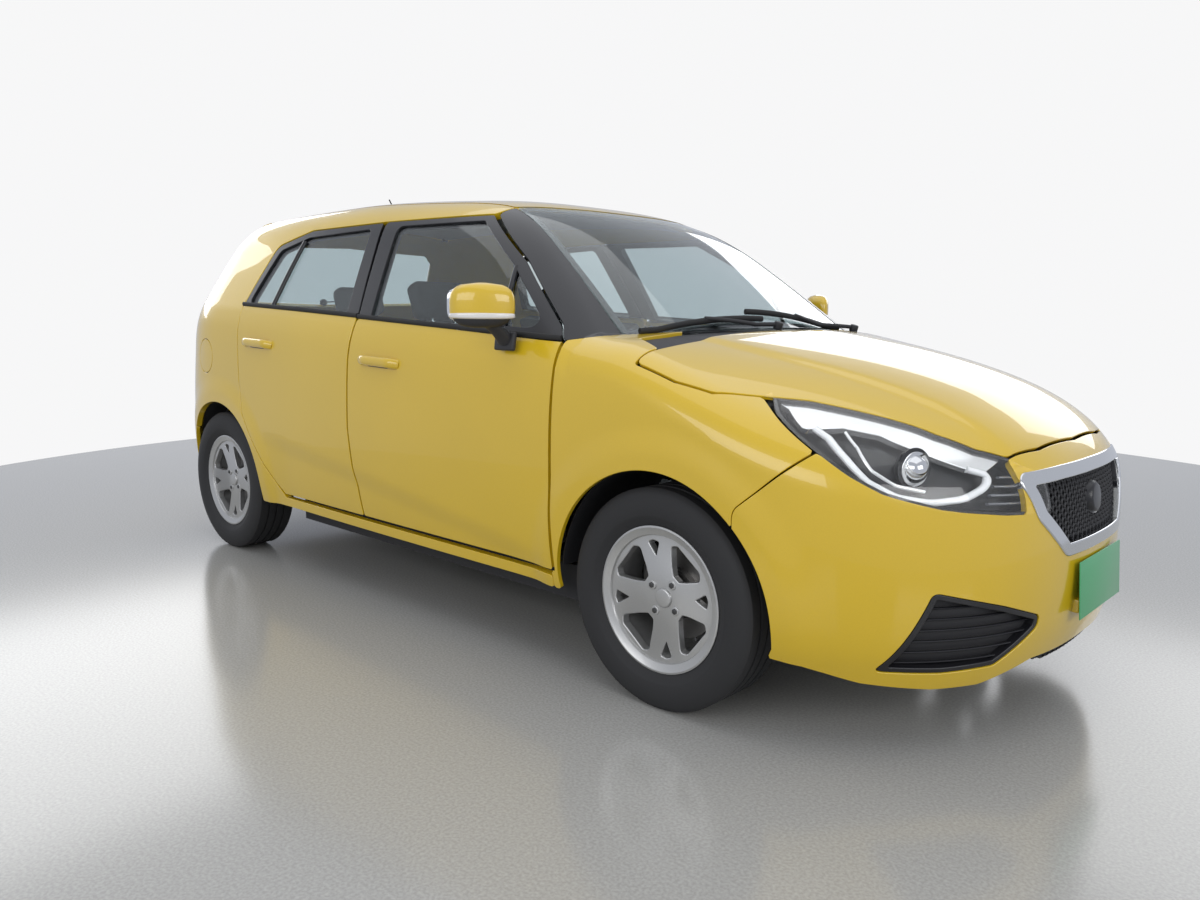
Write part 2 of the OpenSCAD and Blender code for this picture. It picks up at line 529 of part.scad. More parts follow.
module headlamps() {
    color(glass_tint) both_sides() pressed() difference() {
        intersection() {
            end_slab(to_x(1330), -90, -10, 20, 640, 910, 6, 1, 70);
            side_cut(headlamp_outline, seam);
        }
        plan_cut(hood_outline, -hood_gap - 3, 600);
        end_cut(grille_outline, -seam, to_x(1700));
        block([to_x(1300), -360, 500], [3000, 0, 1000]);
    }
}
module tail_lamps() {
    color([0.5, 0.05, 0.05]) both_sides() pressed() difference() {
        intersection() {
            end_slab(to_x(-1330), 180, 262, 18, 760, 1060, 6, 0, 60);
            side_cut(tail_lamp_outline, seam);
        }
        end_cut(tailgate_outline, -shut_gap, -2500, to_x(-1300));
    }
}
module windscreen() {
    color(glass_tint) pressed() intersection() {
        top_slab(to_x(200), to_x(1000), 10, 680 * width_scale, 10, 2, 8);
        plan_cut(screen_outline, seam);
    }
}
module cowl_and_wipers() {
    color(black_trim) pressed() {
        difference() {
            union() {
                top_slab(to_x(955), to_x(1008), 3, 600 * width_scale, 10, 14, 34);
                top_slab(to_x(992), to_x(1008), 1, 470 * width_scale, 8, 20, 96);
                top_slab(to_x(992), to_x(1060), 2, 470 * width_scale, 8, 84, 96);
            }
            plan_cut(screen_outline, -seam, 900);
        }
        // Foot on the firewall, under the screen
        block([firewall_x + 5, -400, 930 + seam], [to_x(1000), 400, 946]);
    }
}
module dashboard() {
    color(black_trim) difference() {
        union() {
            rotate([90, 0, 0]) translate([0, 0, -620]) linear_extrude(1240) polygon([[firewall_x - seam, 640],
                [firewall_x - seam, 935], [firewall_x - 120, 955], [firewall_x - 330, 930], [firewall_x - 400, 870],
                [firewall_x - 370, 700], [firewall_x - 250, 640]]);
            block([to_x(-100), -95, 290 + seam], [to_x(560), 95, 430]);
        }
        translate(steering_centre) rotate([0, 90 + steering_tilt, 0]) cylinder(r = column_r + seam, h = column_h + 10, $fn = 32);
        both_sides() translate([front_axle, 470, axle_height]) rotate([-90, 0, 0]) cylinder(r = arch_wall + 12 + seam, h = 400, $fn = 72);
    }
}
module seat(x, y, w, floor_top) {
    translate([x, y, 0]) {
        block([-210, -w / 2 + 40, floor_top + seam], [210, w / 2 - 40, 330]);
        translate([-260, -w / 2, 330]) cube([520, w, 150]);
        translate([-235, 0, 430]) rotate([0, -18, 0]) {
            translate([-85, -w / 2 + 10, 0]) cube([110, w - 20, 620]);
            translate([-62, -12, 600]) cube([14, 24, 60]);
            translate([-95, -135, 640]) cube([100, 270, 170]);
        }
    }
}
seat_y = 360;
module front_seats() { color([0.25, 0.25, 0.27]) for (s = [-1, 1]) seat(to_x(150), s * seat_y, 490, floor_low + 25); }
module rear_seat() {
    color([0.25, 0.25, 0.27]) {
        block([to_x(-840), -560, rear_seat_floor + seam], [to_x(-430), 560, 490]);
        translate([to_x(-785), 0, 515]) rotate([0, -20, 0]) {
            translate([-100, -560, 0]) cube([125, 1120, 560]);
            for (s = [-1, 1]) translate([0, s * 320, 0]) {
                translate([-52, -12, 540]) cube([14, 24, 60]);
                translate([-85, -120, 585]) cube([90, 240, 130]);
            }
        }
    }
}
module engine_block() {
    color(steel) {
        block([to_x(1180), -330, 340], [to_x(1740), 340, 800]);
        for (s = [-1, 1]) block([front_axle - 40, s > 0 ? 340 : -rail_y + 30 + seam, 560], [front_axle + 40, s > 0 ? rail_y - 30 - seam : -330, 620]);
    }
}
module front_subframe() {
    color(steel) {
        block([front_axle - 170, -380, 215], [front_axle + 120, 380, 255]);
        both_sides() {
            block([front_axle - 120, 340, 255], [front_axle + 90, 370, 379.7]);
            block([front_axle - 120, 370, 350], [front_axle + 90, 455, 379.7]);
            // Wishbone with the socket of the ball joint
            difference() {
                union() {
                    translate([front_axle, 0, 176]) linear_extrude(20) polygon([[-150, 330], [100, 330], [20, ball_joint[1] - 6],
                        [-20, ball_joint[1] - 6]]);
                    translate([ball_joint[0], ball_joint[1], 176]) cylinder(r = 20, h = 20, $fn = 40);
                }
                translate([front_axle, 0, 170]) linear_extrude(40) polygon([[-105, 390], [55, 390], [0, 600], [-12, 600]]);
                translate(ball_joint) sphere(r = ball_r + seam, $fn = 32);
            }
            block([front_axle - 150, 330, 196], [front_axle + 100, 360, 215]);
        }
    }
}
ball_r = 12;
module knuckle_left() {
    hub_y = 622;
    color(steel) {
        translate(ball_joint) sphere(r = ball_r, $fn = 32);
        along_kingpin(0, 0) cylinder(r = 6, h = 40, $fn = 24);
        // Strut, its rod and the coil spring's envelope
        tube_between([front_axle, 603, 400], strut_top - [0, 4, 40], 24);
        tube_between([front_axle, 583, 620], strut_top - [0, 4, 50], 56, 40);
        along_kingpin(640, 690) cylinder(r = strut_rod_r, h = 52, $fn = 32);
        translate([front_axle, 0, 0]) {
            block([-30, 580, 395], [30, 645, 470]);
            block([-24, 600, 250], [24, 645, 420]);
            translate([0, hub_y, axle_height]) rotate([-90, 0, 0]) {
                cylinder(r = 62, h = 50, $fn = 40);
                translate([0, 0, 18]) cylinder(r = 22, h = 120, $fn = 32);
            }
            block([-20, 640, 222], [20, 685, 232]);
            block([-20, 640, 222], [20, 662, 300]);
            // Brake caliper, behind the axle
            block([-146, 672, axle_height - 40], [-92, 701, axle_height + 50]);
            block([-130, 640, axle_height - 25], [-40, 680, axle_height + 30]);
        }
    }
}
module knuckle_right() { mirror([0, 1, 0]) knuckle_left(); }
module rear_axle_beam() {
    color(steel) {
        tube_between([to_x(-1180), -520, 300], [to_x(-1180), 520, 300], 32, 32);
        both_sides() {
            tube_between([to_x(-930), 505, 280], [to_x(-1200), 510, 300], 28);
            block([to_x(-940), 470, 275], [to_x(-900), 540, rear_seat_floor - 20 - seam]);
            block([to_x(-940), 470, rear_seat_floor - 45], [to_x(-855), 540, rear_seat_floor - 20 - seam]);
            tube_between([to_x(-1190), 508, 300], [rear_axle, 560, axle_height], 30);
            translate([rear_axle, 555, axle_height]) rotate([-90, 0, 0]) cylinder(r = 55, h = 95, $fn = 40);
            translate([rear_axle, 640, axle_height]) rotate([-90, 0, 0]) cylinder(r = 22, h = 120, $fn = 32);
            block([rear_axle - 40, 440, 285], [rear_axle + 60, 560, 315]);
            translate([rear_axle + 10, 490, 315]) cylinder(r = 48, h = load_floor - 315 - seam, $fn = 40);
        }
    }
}
module tail_pipe(r) {
    tube_between([to_x(-1850), -440, 240], [to_x(-1950), -440, 172], r);
}
module exhaust() {
    color(steel) {
        tube_between([to_x(985), 0, 226], [to_x(-500), 0, 226], 24);
        translate([to_x(-500), 0, 226]) sphere(r = 24, $fn = 24);
        tube_between([to_x(-500), 0, 226], [to_x(-880), -290, 222], 24);
        translate([to_x(-880), -290, 222]) sphere(r = 24, $fn = 24);
        tube_between([to_x(-880), -290, 222], [to_x(-1500), -400, 222], 24);
        block([to_x(-1845), -530, 205], [to_x(-1480), -250, 330]);
        tail_pipe(20);
        for (x = [-1520, -1820]) block([to_x(x) - 8, -410, 330], [to_x(x) + 8, -390, load_floor - seam]);
        block([to_x(200) - 10, -60, 248], [to_x(200) + 10, 60, 270 - seam]);
    }
}
module fuel_tank() {
    color(black_trim) block([to_x(-830), 140, 172], [to_x(-450), 620, rear_seat_floor - 20 - seam]);
}
module antenna() {
    color(black_trim) translate([to_x(-1180), 0, antenna_foot]) {
        cylinder(r = 16, h = 12, $fn = 32);
        rotate([0, -32, 0]) cylinder(r = 2.5, h = 110, $fn = 16);
    }
}
antenna_foot = height_at(to_x(-1164), 0, 0) + seam;

// ---- Opening parts ----
module hood() {
    color(paint) pressed() difference() {
        union() {
            intersection() {
                top_slab(to_x(1040), to_x(1960), 15, 815 * width_scale, 14, 0, 12);
                plan_cut(hood_outline);
            }
            difference() {
                intersection() {
                    top_slab(to_x(1040), to_x(1960), 15, 815 * width_scale, 14, 4, 34);
                    plan_cut(hood_outline, 34);
                }
                plan_cut(hood_outline, 120, 600);
            }
            both_sides() translate(hood_hinge) rotate([90, 0, 0]) cylinder(r = 12, h = 20, center = true, $fn = 24);
            both_sides() intersection() {
                top_slab(to_x(1060), to_x(1160), 3, 620 * width_scale, 10, 4, 60);
                block(hood_hinge - [10, 10, 0], hood_hinge + [60, 10, 80]);
            }
        }
        both_sides() translate(hood_hinge) rotate([90, 0, 0]) cylinder(r = 4.4, h = 60, center = true, $fn = 24);
    }
}
module tailgate() {
    color(paint) pressed() difference() {
        union() {
            difference() {
                union() {
                    intersection() {
                        end_slab(to_x(-1330), 108, 252, 22, 640, 1330, 9, 0, 14);
                        end_cut(tailgate_outline, 0, -2500, to_x(-1485));
                    }
                    intersection() {
                        end_slab(to_x(-1330), 108, 252, 22, 640, 1330, 9, 4, 38);
                        end_cut(tailgate_outline, 34, -2500, to_x(-1485));
                    }
                    intersection() {
                        top_slab(to_x(-1800), to_x(-1380), 8, 600 * width_scale, 12, 0, 38);
                        end_cut(tailgate_outline, 0, -2500, to_x(-1350));
                        behind_roof_end(shut_gap);
                        block([-3000, -900, 1290], [3000, 900, 1600]);
                    }
                    intersection() {
                        end_slab(to_x(-1330), 150, 210, 12, 670, 1060, 4, 30, 80);
                        block([-3000, -400, 670], [0, 400, 1010]);
                    }
                    spoiler();
                }
                end_cut(tail_glass_outline, -seam, -2500, to_x(-1420));
            }
            both_sides() tailgate_arm();
        }
        both_sides() translate(tailgate_hinge) rotate([90, 0, 0]) cylinder(r = 4.4, h = 40, center = true, $fn = 24);
    }
}
module spoiler() {
    intersection() {
        rotate([90, 0, 0]) translate([0, 0, -520]) linear_extrude(1040) polygon(side_view([[-1440, 1430], [-1440, 1491], [-1560, 1474],
            [-1622, 1459], [-1626, 1446], [-1600, 1405]]));
        behind_roof_end(shut_gap);
    }
}
module tailgate_arm() {
    translate(tailgate_hinge) rotate([90, 0, 0]) translate([0, 0, -8]) linear_extrude(16) {
        circle(r = 7.5, $fn = 24);
        polygon([[-7, 0], [7, 0], [9, -20], [9, -132], [-165, -132], [-165, 12], [-145, 12], [-145, -114], [-9, -114], [-9, -20]]);
    }
}
module tailgate_glass() {
    color(glass_tint) pressed() intersection() {
        end_slab(to_x(-1330), 110, 250, 16, 1080, 1410, 5, 4, 9);
        end_cut(tail_glass_outline, seam, -2500, to_x(-1420));
    }
}
flap_x = -1465;
flap_z = 862;
flap_r = 76;
flap_pin_depth = 5;
pin_span = 65.5;
// Point on the flap's hinge axis, u above the flap's middle
function flap_pin(u) = let (x = to_x(flap_x) + 44, z = flap_z * height_scale + u)
    [x, -side_at(x, flap_z * height_scale - 40, flap_pin_depth) * (40 - u) / 80 - side_at(x, flap_z * height_scale + 40, flap_pin_depth) * (40 + u) / 80, z];
function side_at(x, z, d) = hit([x, 0, z], [0, 1, 0], d, 0, 1000);
module fuel_flap_hole(r) {
    translate([to_x(flap_x), -550, flap_z * height_scale]) rotate([90, 0, 0]) cylinder(r = r, h = 500, $fn = 40);
}
module fuel_flap() {
    color(paint) pressed() difference() {
        union() {
            intersection() {
                side_slab(to_x(flap_x) - 90, to_x(flap_x) + 90, 5, flap_z * height_scale - 90, flap_z * height_scale + 90, 5, 400, 0, 5);
                fuel_flap_hole(flap_r);
            }
            for (u = [-20, 20]) intersection() {
                tube_between(flap_pin(u - 5), flap_pin(u + 5), 5);
                side_slab(to_x(flap_x) - 90, to_x(flap_x) + 90, 5, flap_z * height_scale - 90, flap_z * height_scale + 90, 5, 400, 2, 40);
            }
        }
        tube_between(flap_pin(-pin_span), flap_pin(pin_span), 2.4);
    }
}
module front_door_skin(d) {
    side_slab(to_x(-400), to_x(830), 12, 300, 1600, 11, 440, d, flange);
}
module front_door_right() {
    color(paint) pressed() difference() {
        union() {
            intersection() {
                front_door_skin(0);
                side_cut(front_door_outline, half_gap);
            }
            intersection() {
                side_slab(to_x(-200), to_x(720), 8, 340, 990, 6, 400, flange - 8, door_thickness);
                side_cut([[-195, 345], [700, 345], [700, 985], [-195, 985]]);
            }
        }
        side_cut(front_window_outline);
        plan_cut(roof_outline, -shut_gap, 1200);
        plan_cut(screen_outline, -shut_gap, 900);
        door_hinge_pockets(front_hinge_x);
    }
}
module rear_door_right() {
    color(paint) pressed() difference() {
        union() {
            intersection() {
                side_slab(to_x(-1170), to_x(-210), 10, 300, 1600, 11, 440, 0, flange);
                side_cut(rear_door_outline, half_gap);
            }
            intersection() {
                side_slab(to_x(-1100), to_x(-340), 7, 340, 1000, 6, 400, flange - 8, door_thickness);
                side_cut([[-350, 345], [-350, 985], [-1085, 1000], [-1075, 740], [-1000, 575], [-900, 445], [-800, 345]]);
            }
        }
        side_cut(rear_window_outline);
        plan_cut(roof_outline, -shut_gap, 1200);
        door_hinge_pockets(rear_hinge_x);
    }
}
module front_door_left() { mirror([0, 1, 0]) front_door_right(); }
module rear_door_left() { mirror([0, 1, 0]) rear_door_right(); }
module door_window(outline, x0, x1) {
    color(glass_tint) pressed() intersection() {
        side_slab(to_x(x0), to_x(x1), 7, 1000, 1600, 4, 440, 8, 13);
        side_cut(outline, seam);
    }
}
module front_window_right() { door_window(front_window_outline, -300, 730); }
module rear_window_right() { door_window(rear_window_outline, -1130, -320); }
module front_window_left() { mirror([0, 1, 0]) front_window_right(); }
module rear_window_left() { mirror([0, 1, 0]) rear_window_right(); }
mirror_place = [to_x(600), 912 * width_scale, 1066 * height_scale];
module door_mirror_left() {
    foot = side_at(to_x(640), 985 * height_scale, 0);
    color(paint) translate(mirror_place) {
        hull() {
            for (p = [[20, -50, -30], [-8, -48, 44]]) translate(p) sphere(r = 38, $fn = 16);
            for (p = [[-20, 56, -22], [-34, 48, 36]]) translate(p) sphere(r = 34, $fn = 16);
        }
    }
    // Stalk, its foot cut to the door's skin
    color(black_trim) pressed() difference() {
        union() {
            block([to_x(610), foot - 20, 975 * height_scale], [to_x(660), foot + 60, 995 * height_scale]);
            block([to_x(610), foot + 30, 975 * height_scale], [to_x(640), foot + 60, 1030 * height_scale]);
        }
        mirror([0, 1, 0]) front_door_skin(-seam);
    }
}
module door_mirror_right() { mirror([0, 1, 0]) door_mirror_left(); }

// ---- Cabin control ----
steering_centre = [to_x(440), seat_y, 870];
steering_tilt = 25;
column_r = 22;
column_h = 135;
module steering_wheel() {
    color(black_trim) translate(steering_centre) rotate([0, 90 + steering_tilt, 0]) {
        rotate_extrude($fn = 48) translate([170, 0]) circle(r = 15, $fn = 16);
        translate([0, 0, -12]) cylinder(r = 58, h = 30, $fn = 32);
        for (a = [0, 130, -130]) rotate([0, 0, a]) block([40, -18, -6], [165, 18, 6]);
        cylinder(r = column_r, h = column_h, $fn = 32);
    }
}

// ---- Wheels ----
half_tread = tyre_width / 2;
rim_r = rim_diameter / 2;
module tyre(x, side) {
    color(black_trim) translate([x, side * track / 2, axle_height]) rotate([-90, 0, 0]) rotate_extrude($fn = 96)
        polygon([[rim_r + 0.8, -66], [rim_r + 17, -67], [rim_r + 45, -half_tread + 3], [rim_r + 65, -half_tread], [tyre_diameter / 2 - 22, -half_tread + 6],
            [tyre_diameter / 2 - 6, -half_tread + 18], [tyre_diameter / 2, -half_tread + 34], [tyre_diameter / 2, half_tread - 34],
            [tyre_diameter / 2 - 6, half_tread - 18], [tyre_diameter / 2 - 22, half_tread - 6], [rim_r + 65, half_tread], [rim_r + 45, half_tread - 3],
            [rim_r + 17, 67], [rim_r + 0.8, 66]]);
}
module wheel(x, side) {
    color(alloy) translate([x, side * track / 2, axle_height]) rotate([side > 0 ? -90 : 90, 0, 0]) {
        rotate_extrude($fn = 96) polygon([[rim_r - 4, -76], [rim_r + 16.8, -79], [rim_r + 16.8, -69], [rim_r, -67], [rim_r - 8, -40], [rim_r - 14, -20],
            [rim_r - 14, 20], [rim_r, 55], [rim_r, 67], [rim_r + 16.8, 69], [rim_r + 16.8, 79], [rim_r + 9, 82], [rim_r - 9, 66], [rim_r - 22, 20],
            [rim_r - 22, -20], [rim_r - 16, -44], [rim_r - 8, -70]]);
        difference() {
            union() {
                translate([0, 0, -10]) cylinder(r = 75, h = 58, $fn = 48);
                for (a = [0 : 90 : 270], b = [-19, 19]) rotate([0, 0, a + b]) block([50, -12, 18], [rim_r - 14, 12, 46]);
            }
            translate([0, 0, -20]) cylinder(r = 22.4, h = 60, $fn = 48);
            for (a = [45 : 90 : 315]) rotate([0, 0, a]) translate([50, 0, -20]) cylinder(r = 6.5, h = 90, $fn = 32);
        }
        // Brake disc, bolted behind the hub
        difference() {
            translate([0, 0, -34]) cylinder(r = 130, h = 12, $fn = 64);
            translate([0, 0, -40]) cylinder(r = 68, h = 30, $fn = 48);
        }
        difference() {
            translate([0, 0, -34]) cylinder(r = 72, h = 24, $fn = 48);
            translate([0, 0, -40]) cylinder(r = 22.4, h = 40, $fn = 48);
        }
    }
}
module tyre_front_left() { tyre(front_axle, 1); }
module tyre_front_right() { tyre(front_axle, -1); }
module tyre_rear_left() { tyre(rear_axle, 1); }
module tyre_rear_right() { tyre(rear_axle, -1); }
module wheel_front_left() { wheel(front_axle, 1); }
module wheel_front_right() { wheel(front_axle, -1); }
module wheel_rear_left() { wheel(rear_axle, 1); }
module wheel_rear_right() { wheel(rear_axle, -1); }

side_frame_left();
side_frame_right();
roof_panel();
floor_pan();
engine_bay();
hinges();
front_fenders();
front_bumper();
rear_bumper();
grilles();
headlamps();
tail_lamps();
windscreen();
cowl_and_wipers();
dashboard();
front_seats();
rear_seat();
engine_block();
front_subframe();
rear_axle_beam();
exhaust();
fuel_tank();
antenna();
hood();
tailgate();
tailgate_glass();
fuel_flap();
steering_wheel();
front_door_left();
front_door_right();
rear_door_left();
rear_door_right();
front_window_left();
front_window_right();
rear_window_left();
rear_window_right();
door_mirror_left();
door_mirror_right();
knuckle_left();
knuckle_right();
tyre_front_left();
tyre_front_right();
tyre_rear_left();
tyre_rear_right();
wheel_front_left();
wheel_front_right();
wheel_rear_left();
wheel_rear_right();
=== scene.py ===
import bpy, bmesh, math
import numpy as np
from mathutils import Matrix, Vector, geometry


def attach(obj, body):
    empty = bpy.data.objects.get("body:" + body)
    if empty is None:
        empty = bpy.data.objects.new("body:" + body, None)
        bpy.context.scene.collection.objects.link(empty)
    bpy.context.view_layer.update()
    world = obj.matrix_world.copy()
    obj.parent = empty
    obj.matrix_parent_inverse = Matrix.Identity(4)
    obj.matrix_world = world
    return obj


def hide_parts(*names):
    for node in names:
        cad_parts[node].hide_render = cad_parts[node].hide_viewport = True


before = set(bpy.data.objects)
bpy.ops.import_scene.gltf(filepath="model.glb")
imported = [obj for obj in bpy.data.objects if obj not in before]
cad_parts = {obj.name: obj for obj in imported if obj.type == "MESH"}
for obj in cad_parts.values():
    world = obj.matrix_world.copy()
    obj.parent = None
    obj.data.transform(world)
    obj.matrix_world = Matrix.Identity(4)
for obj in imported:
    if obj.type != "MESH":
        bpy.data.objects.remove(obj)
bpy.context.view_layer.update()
scene = bpy.context.scene

# ---- Studio: floor, backdrop, camera and lamps ----
# A round floor of pale speckled grey under an even white world, with one wide soft box overhead and
# four round the car. The camera stands low off the car's front right corner with a 28 mm lens.
bpy.ops.object.select_all(action="DESELECT")
bpy.ops.mesh.primitive_circle_add(vertices=160, radius=4.53, fill_type="NGON", location=(-0.49, 1.08, 0))
bpy.ops.object.transform_apply(location=True)
floor = bpy.context.object
floor.name = "studio_floor"
floor_paint = bpy.data.materials.new("studio_floor_grey")
floor_paint.use_nodes = True
nodes, links = floor_paint.node_tree.nodes, floor_paint.node_tree.links
floor_shader = nodes["Principled BSDF"]
place = nodes.new("ShaderNodeTexCoord")
speckle = nodes.new("ShaderNodeTexNoise")
speckle.inputs["Scale"].default_value = 140
tint = nodes.new("ShaderNodeValToRGB")
tint.color_ramp.elements[0].position, tint.color_ramp.elements[1].position = 0.35, 0.75
tint.color_ramp.elements[0].color = (0.36, 0.355, 0.335, 1)
tint.color_ramp.elements[1].color = (0.46, 0.455, 0.43, 1)
links.new(place.outputs["Object"], speckle.inputs["Vector"])
links.new(speckle.outputs["Fac"], tint.inputs["Fac"])
links.new(tint.outputs["Color"], floor_shader.inputs["Base Color"])
floor_shader.inputs["Roughness"].default_value = 0.16
floor.data.materials.append(floor_paint)

world = bpy.data.worlds.new("studio_white")
scene.world = world
world.use_nodes = True
nodes, links = world.node_tree.nodes, world.node_tree.links
soft_light, white_wall, mix, rays = (nodes["Background"], nodes.new("ShaderNodeBackground"),
                                     nodes.new("ShaderNodeMixShader"), nodes.new("ShaderNodeLightPath"))
soft_light.inputs["Color"].default_value = (0.86, 0.90, 1.0, 1)
soft_light.inputs["Strength"].default_value = 0.62
white_wall.inputs["Color"].default_value = (0.93, 0.93, 0.935, 1)
white_wall.inputs["Strength"].default_value = 1.0
seen = nodes.new("ShaderNodeMath")
seen.operation = "MAXIMUM"
links.new(rays.outputs["Is Camera Ray"], seen.inputs[0])
links.new(rays.outputs["Is Transmission Ray"], seen.inputs[1])
links.new(seen.outputs[0], mix.inputs["Fac"])
links.new(soft_light.outputs[0], mix.inputs[1])
links.new(white_wall.outputs[0], mix.inputs[2])
links.new(mix.outputs[0], nodes["World Output"].inputs["Surface"])


def soft_box(name, at, look, width, depth, watts):
    bpy.ops.object.light_add(type="AREA", location=at)
    lamp = bpy.context.object
    lamp.name = name
    lamp.data.shape, lamp.data.energy = "RECTANGLE", watts
    lamp.data.size, lamp.data.size_y = width, depth
    lamp.rotation_euler = (Vector(look) - Vector(at)).to_track_quat("-Z", "Y").to_euler()


soft_box("overhead_box", (0.3, 0, 5.2), (0.3, 0, 0), 9.0, 6.0, 105)
soft_box("right_box", (1.2, -6.5, 2.8), (0.2, -0.6, 0.7), 7.0, 2.4, 120)
soft_box("front_box", (7.0, -1.5, 2.6), (1.6, 0, 0.6), 4.0, 2.2, 90)
soft_box("left_box", (0, 6.5, 3.0), (0, 0.6, 0.7), 6.0, 2.4, 90)
soft_box("rear_box", (-6.5, 0, 2.8), (-1.6, 0, 0.8), 4.0, 2.2, 80)

bpy.ops.object.camera_add(location=(2.7157, -2.6934, 1.0737))
camera = bpy.context.object
yaw, pitch, roll = math.radians(133.213), math.radians(-8.434), math.radians(0.509)
ahead = Vector((math.cos(pitch) * math.cos(yaw), math.cos(pitch) * math.sin(yaw), math.sin(pitch)))
right = ahead.cross(Vector((0, 0, 1))).normalized()
above = right.cross(ahead)
right, above = (right * math.cos(roll) + above * math.sin(roll),
                above * math.cos(roll) - right * math.sin(roll))
turn = camera.matrix_world.copy()
for row in range(3):
    turn[row][0], turn[row][1], turn[row][2] = right[row], above[row], -ahead[row]
camera.matrix_world = turn
camera.data.lens, camera.data.sensor_width = 28.0, 36.0
camera.data.clip_end = 200
scene.camera = camera
scene.view_settings.view_transform = "Standard"


# ---- Body side panels ----
# The car's outer skin is pressed steel sheet, drawn over one smooth shape. That shape is written
# here as section curves in millimetres, and every outer panel is a piece of it, cut along its
# shut lines, with the edges turned in as hemmed sheet steel has them.
SIDES = (("right", False), ("left", True))
FRONT_AXLE, REAR_AXLE, AXLE_Z, ARCH_R = 1167.5, -1352.5, 306, 356
NOSE_START, TAIL_START = 1335, -1330
BELT = [[-1500, 1106], [-1130, 1090], [-300, 1043], [570, 1001], [800, 990], [1300, 965]]
SIDE = [[100, 760], [200, 800], [265, 826], [340, 842], [460, 852], [620, 857], [800, 854], [930, 843],
        [1000, 825], [1040, 806], [1200, 722], [1390, 612], [1500, 530]]
NOSE = [[100, 1950], [180, 1988], [300, 2016], [470, 2022], [620, 2008], [700, 1986], [790, 1935],
        [950, 1800]]
TAIL = [[150, -1930], [260, -1990], [420, -2022], [560, -2026], [700, -2008], [850, -1972], [1000, -1936],
        [1200, -1800], [1350, -1680], [1420, -1618], [1520, -1530]]
HOOD_LINE = [[600, 1035], [1000, 1020], [1250, 990], [1500, 943], [1700, 884], [1850, 812], [1950, 752],
             [2030, 690]]
HOOD_DROP = [[900, 24], [1000, 34], [1250, 84], [1600, 140], [1865, 165], [2030, 175]]
ROOF_LINE = [[-1900, 1400], [-1700, 1450], [-1450, 1492], [-1250, 1506], [-900, 1516], [-550, 1518],
             [-100, 1496],
             [150, 1472], [330, 1432], [480, 1385], [700, 1300]]
SCREEN_LINE = [[900, 1160], [1000, 1020], [1200, 737], [1400, 430], [1500, 262]]
CREASE = [[-1000, 560], [-200, 470], [600, 365], [800, 330]]


def curve(knots, x):
    """Smooth curve through the knots, straight beyond both ends."""
    k = np.array(knots, float)
    n = len(k) - 1
    lo, hi = np.maximum(np.arange(n + 1) - 1, 0), np.minimum(np.arange(n + 1) + 1, n)
    slope = (k[hi, 1] - k[lo, 1]) / (k[hi, 0] - k[lo, 0])
    x = np.asarray(x, float)
    i = np.clip(np.searchsorted(k[:, 0], x, side="right") - 1, 0, n - 1)
    h = k[i + 1, 0] - k[i, 0]
    t = (x - k[i, 0]) / h
    inside = ((2 * t**3 - 3 * t**2 + 1) * k[i, 1] + (t**3 - 2 * t**2 + t) * h * slope[i]
              + (3 * t**2 - 2 * t**3) * k[i + 1, 1] + (t**3 - t**2) * h * slope[i + 1])
    before = k[0, 1] + (x - k[0, 0]) * slope[0]
    after = k[n, 1] + (x - k[n, 0]) * slope[n]
    return np.where(x <= k[0, 0], before, np.where(x >= k[n, 0], after, inside))


def ease(t):
    c = np.clip(t, 0, 1)
    return c * c * (3 - 2 * c)


def round_max(a, b, r):
    return np.maximum(a, b) + np.maximum(r - np.abs(a - b), 0)**2 / (4 * r)


def half_width(x, z):
    near_arch = np.minimum(np.hypot(x - FRONT_AXLE, z - 302), np.hypot(x - REAR_AXLE, z - 302))
    flare = 9 * (1 - ease((near_arch - 395) / 90))
    scoop = 11 * ease((curve(CREASE, x) + 35 - z) / 90) * ease((z - 240) / 80)
    scoop = scoop * ease((x + 1050) / 300) * ease((820 - x) / 250)
    lift = (curve(BELT, x) - 1030) * ease((z - 600) / 400)
    return curve(SIDE, z - lift) * (1 - 0.010 * (x / 1300)**2) + flare - scoop


def rounded_end(x, y, b, reach, n):
    q = np.maximum((np.abs(np.maximum(x, 0) / reach)**n + (np.abs(y) / b)**n)**(1 / n), 1e-6)
    return np.hypot(np.maximum(x, 0), y) * (1 - 1 / q)


def depth(x, y, z):
    """Below 0 inside the body, 0 on its skin."""
    b = half_width(x, z)
    nose = rounded_end(x - NOSE_START, y, b, curve(NOSE, z) - NOSE_START, 2.3)
    tail = rounded_end(TAIL_START - x, y, b, TAIL_START - curve(TAIL, z), 3.0)
    flank = np.where(x > NOSE_START, nose, np.where(x < TAIL_START, tail, np.abs(y) - b))
    crease = 7 * (1 - ease((np.abs(y) - 330 - (1950 - x) * 0.16) / 60)) * ease((x - 900) / 200)
    hood = z - (curve(HOOD_LINE, x) - curve(HOOD_DROP, x) * (np.abs(y) / 750)**2.4 + crease)
    roof = z - (curve(ROOF_LINE, x) - 54 * (np.abs(y) / 600)**3)
    cabin = round_max((x - (curve(SCREEN_LINE, z) - 0.0003 * y * y)) * 0.56, roof, 50)
    upper = np.where(x < 835, cabin, np.where(x > 1100, hood, np.minimum(hood, cabin)))
    return round_max(flank, upper, 90)


def cast(start, way, far, sunk=0.0):
    """Points where rays from inside meet the skin, sunk by so many millimetres."""
    near, far = np.zeros(len(start)), np.full(len(start), float(far))
    for _ in range(26):
        mid = (near + far) / 2
        p = start + way * mid[:, None]
        out = depth(p[:, 0], p[:, 1], p[:, 2]) + sunk > 0
        near, far = np.where(out, near, mid), np.where(out, mid, far)
    return start + way * near[:, None]


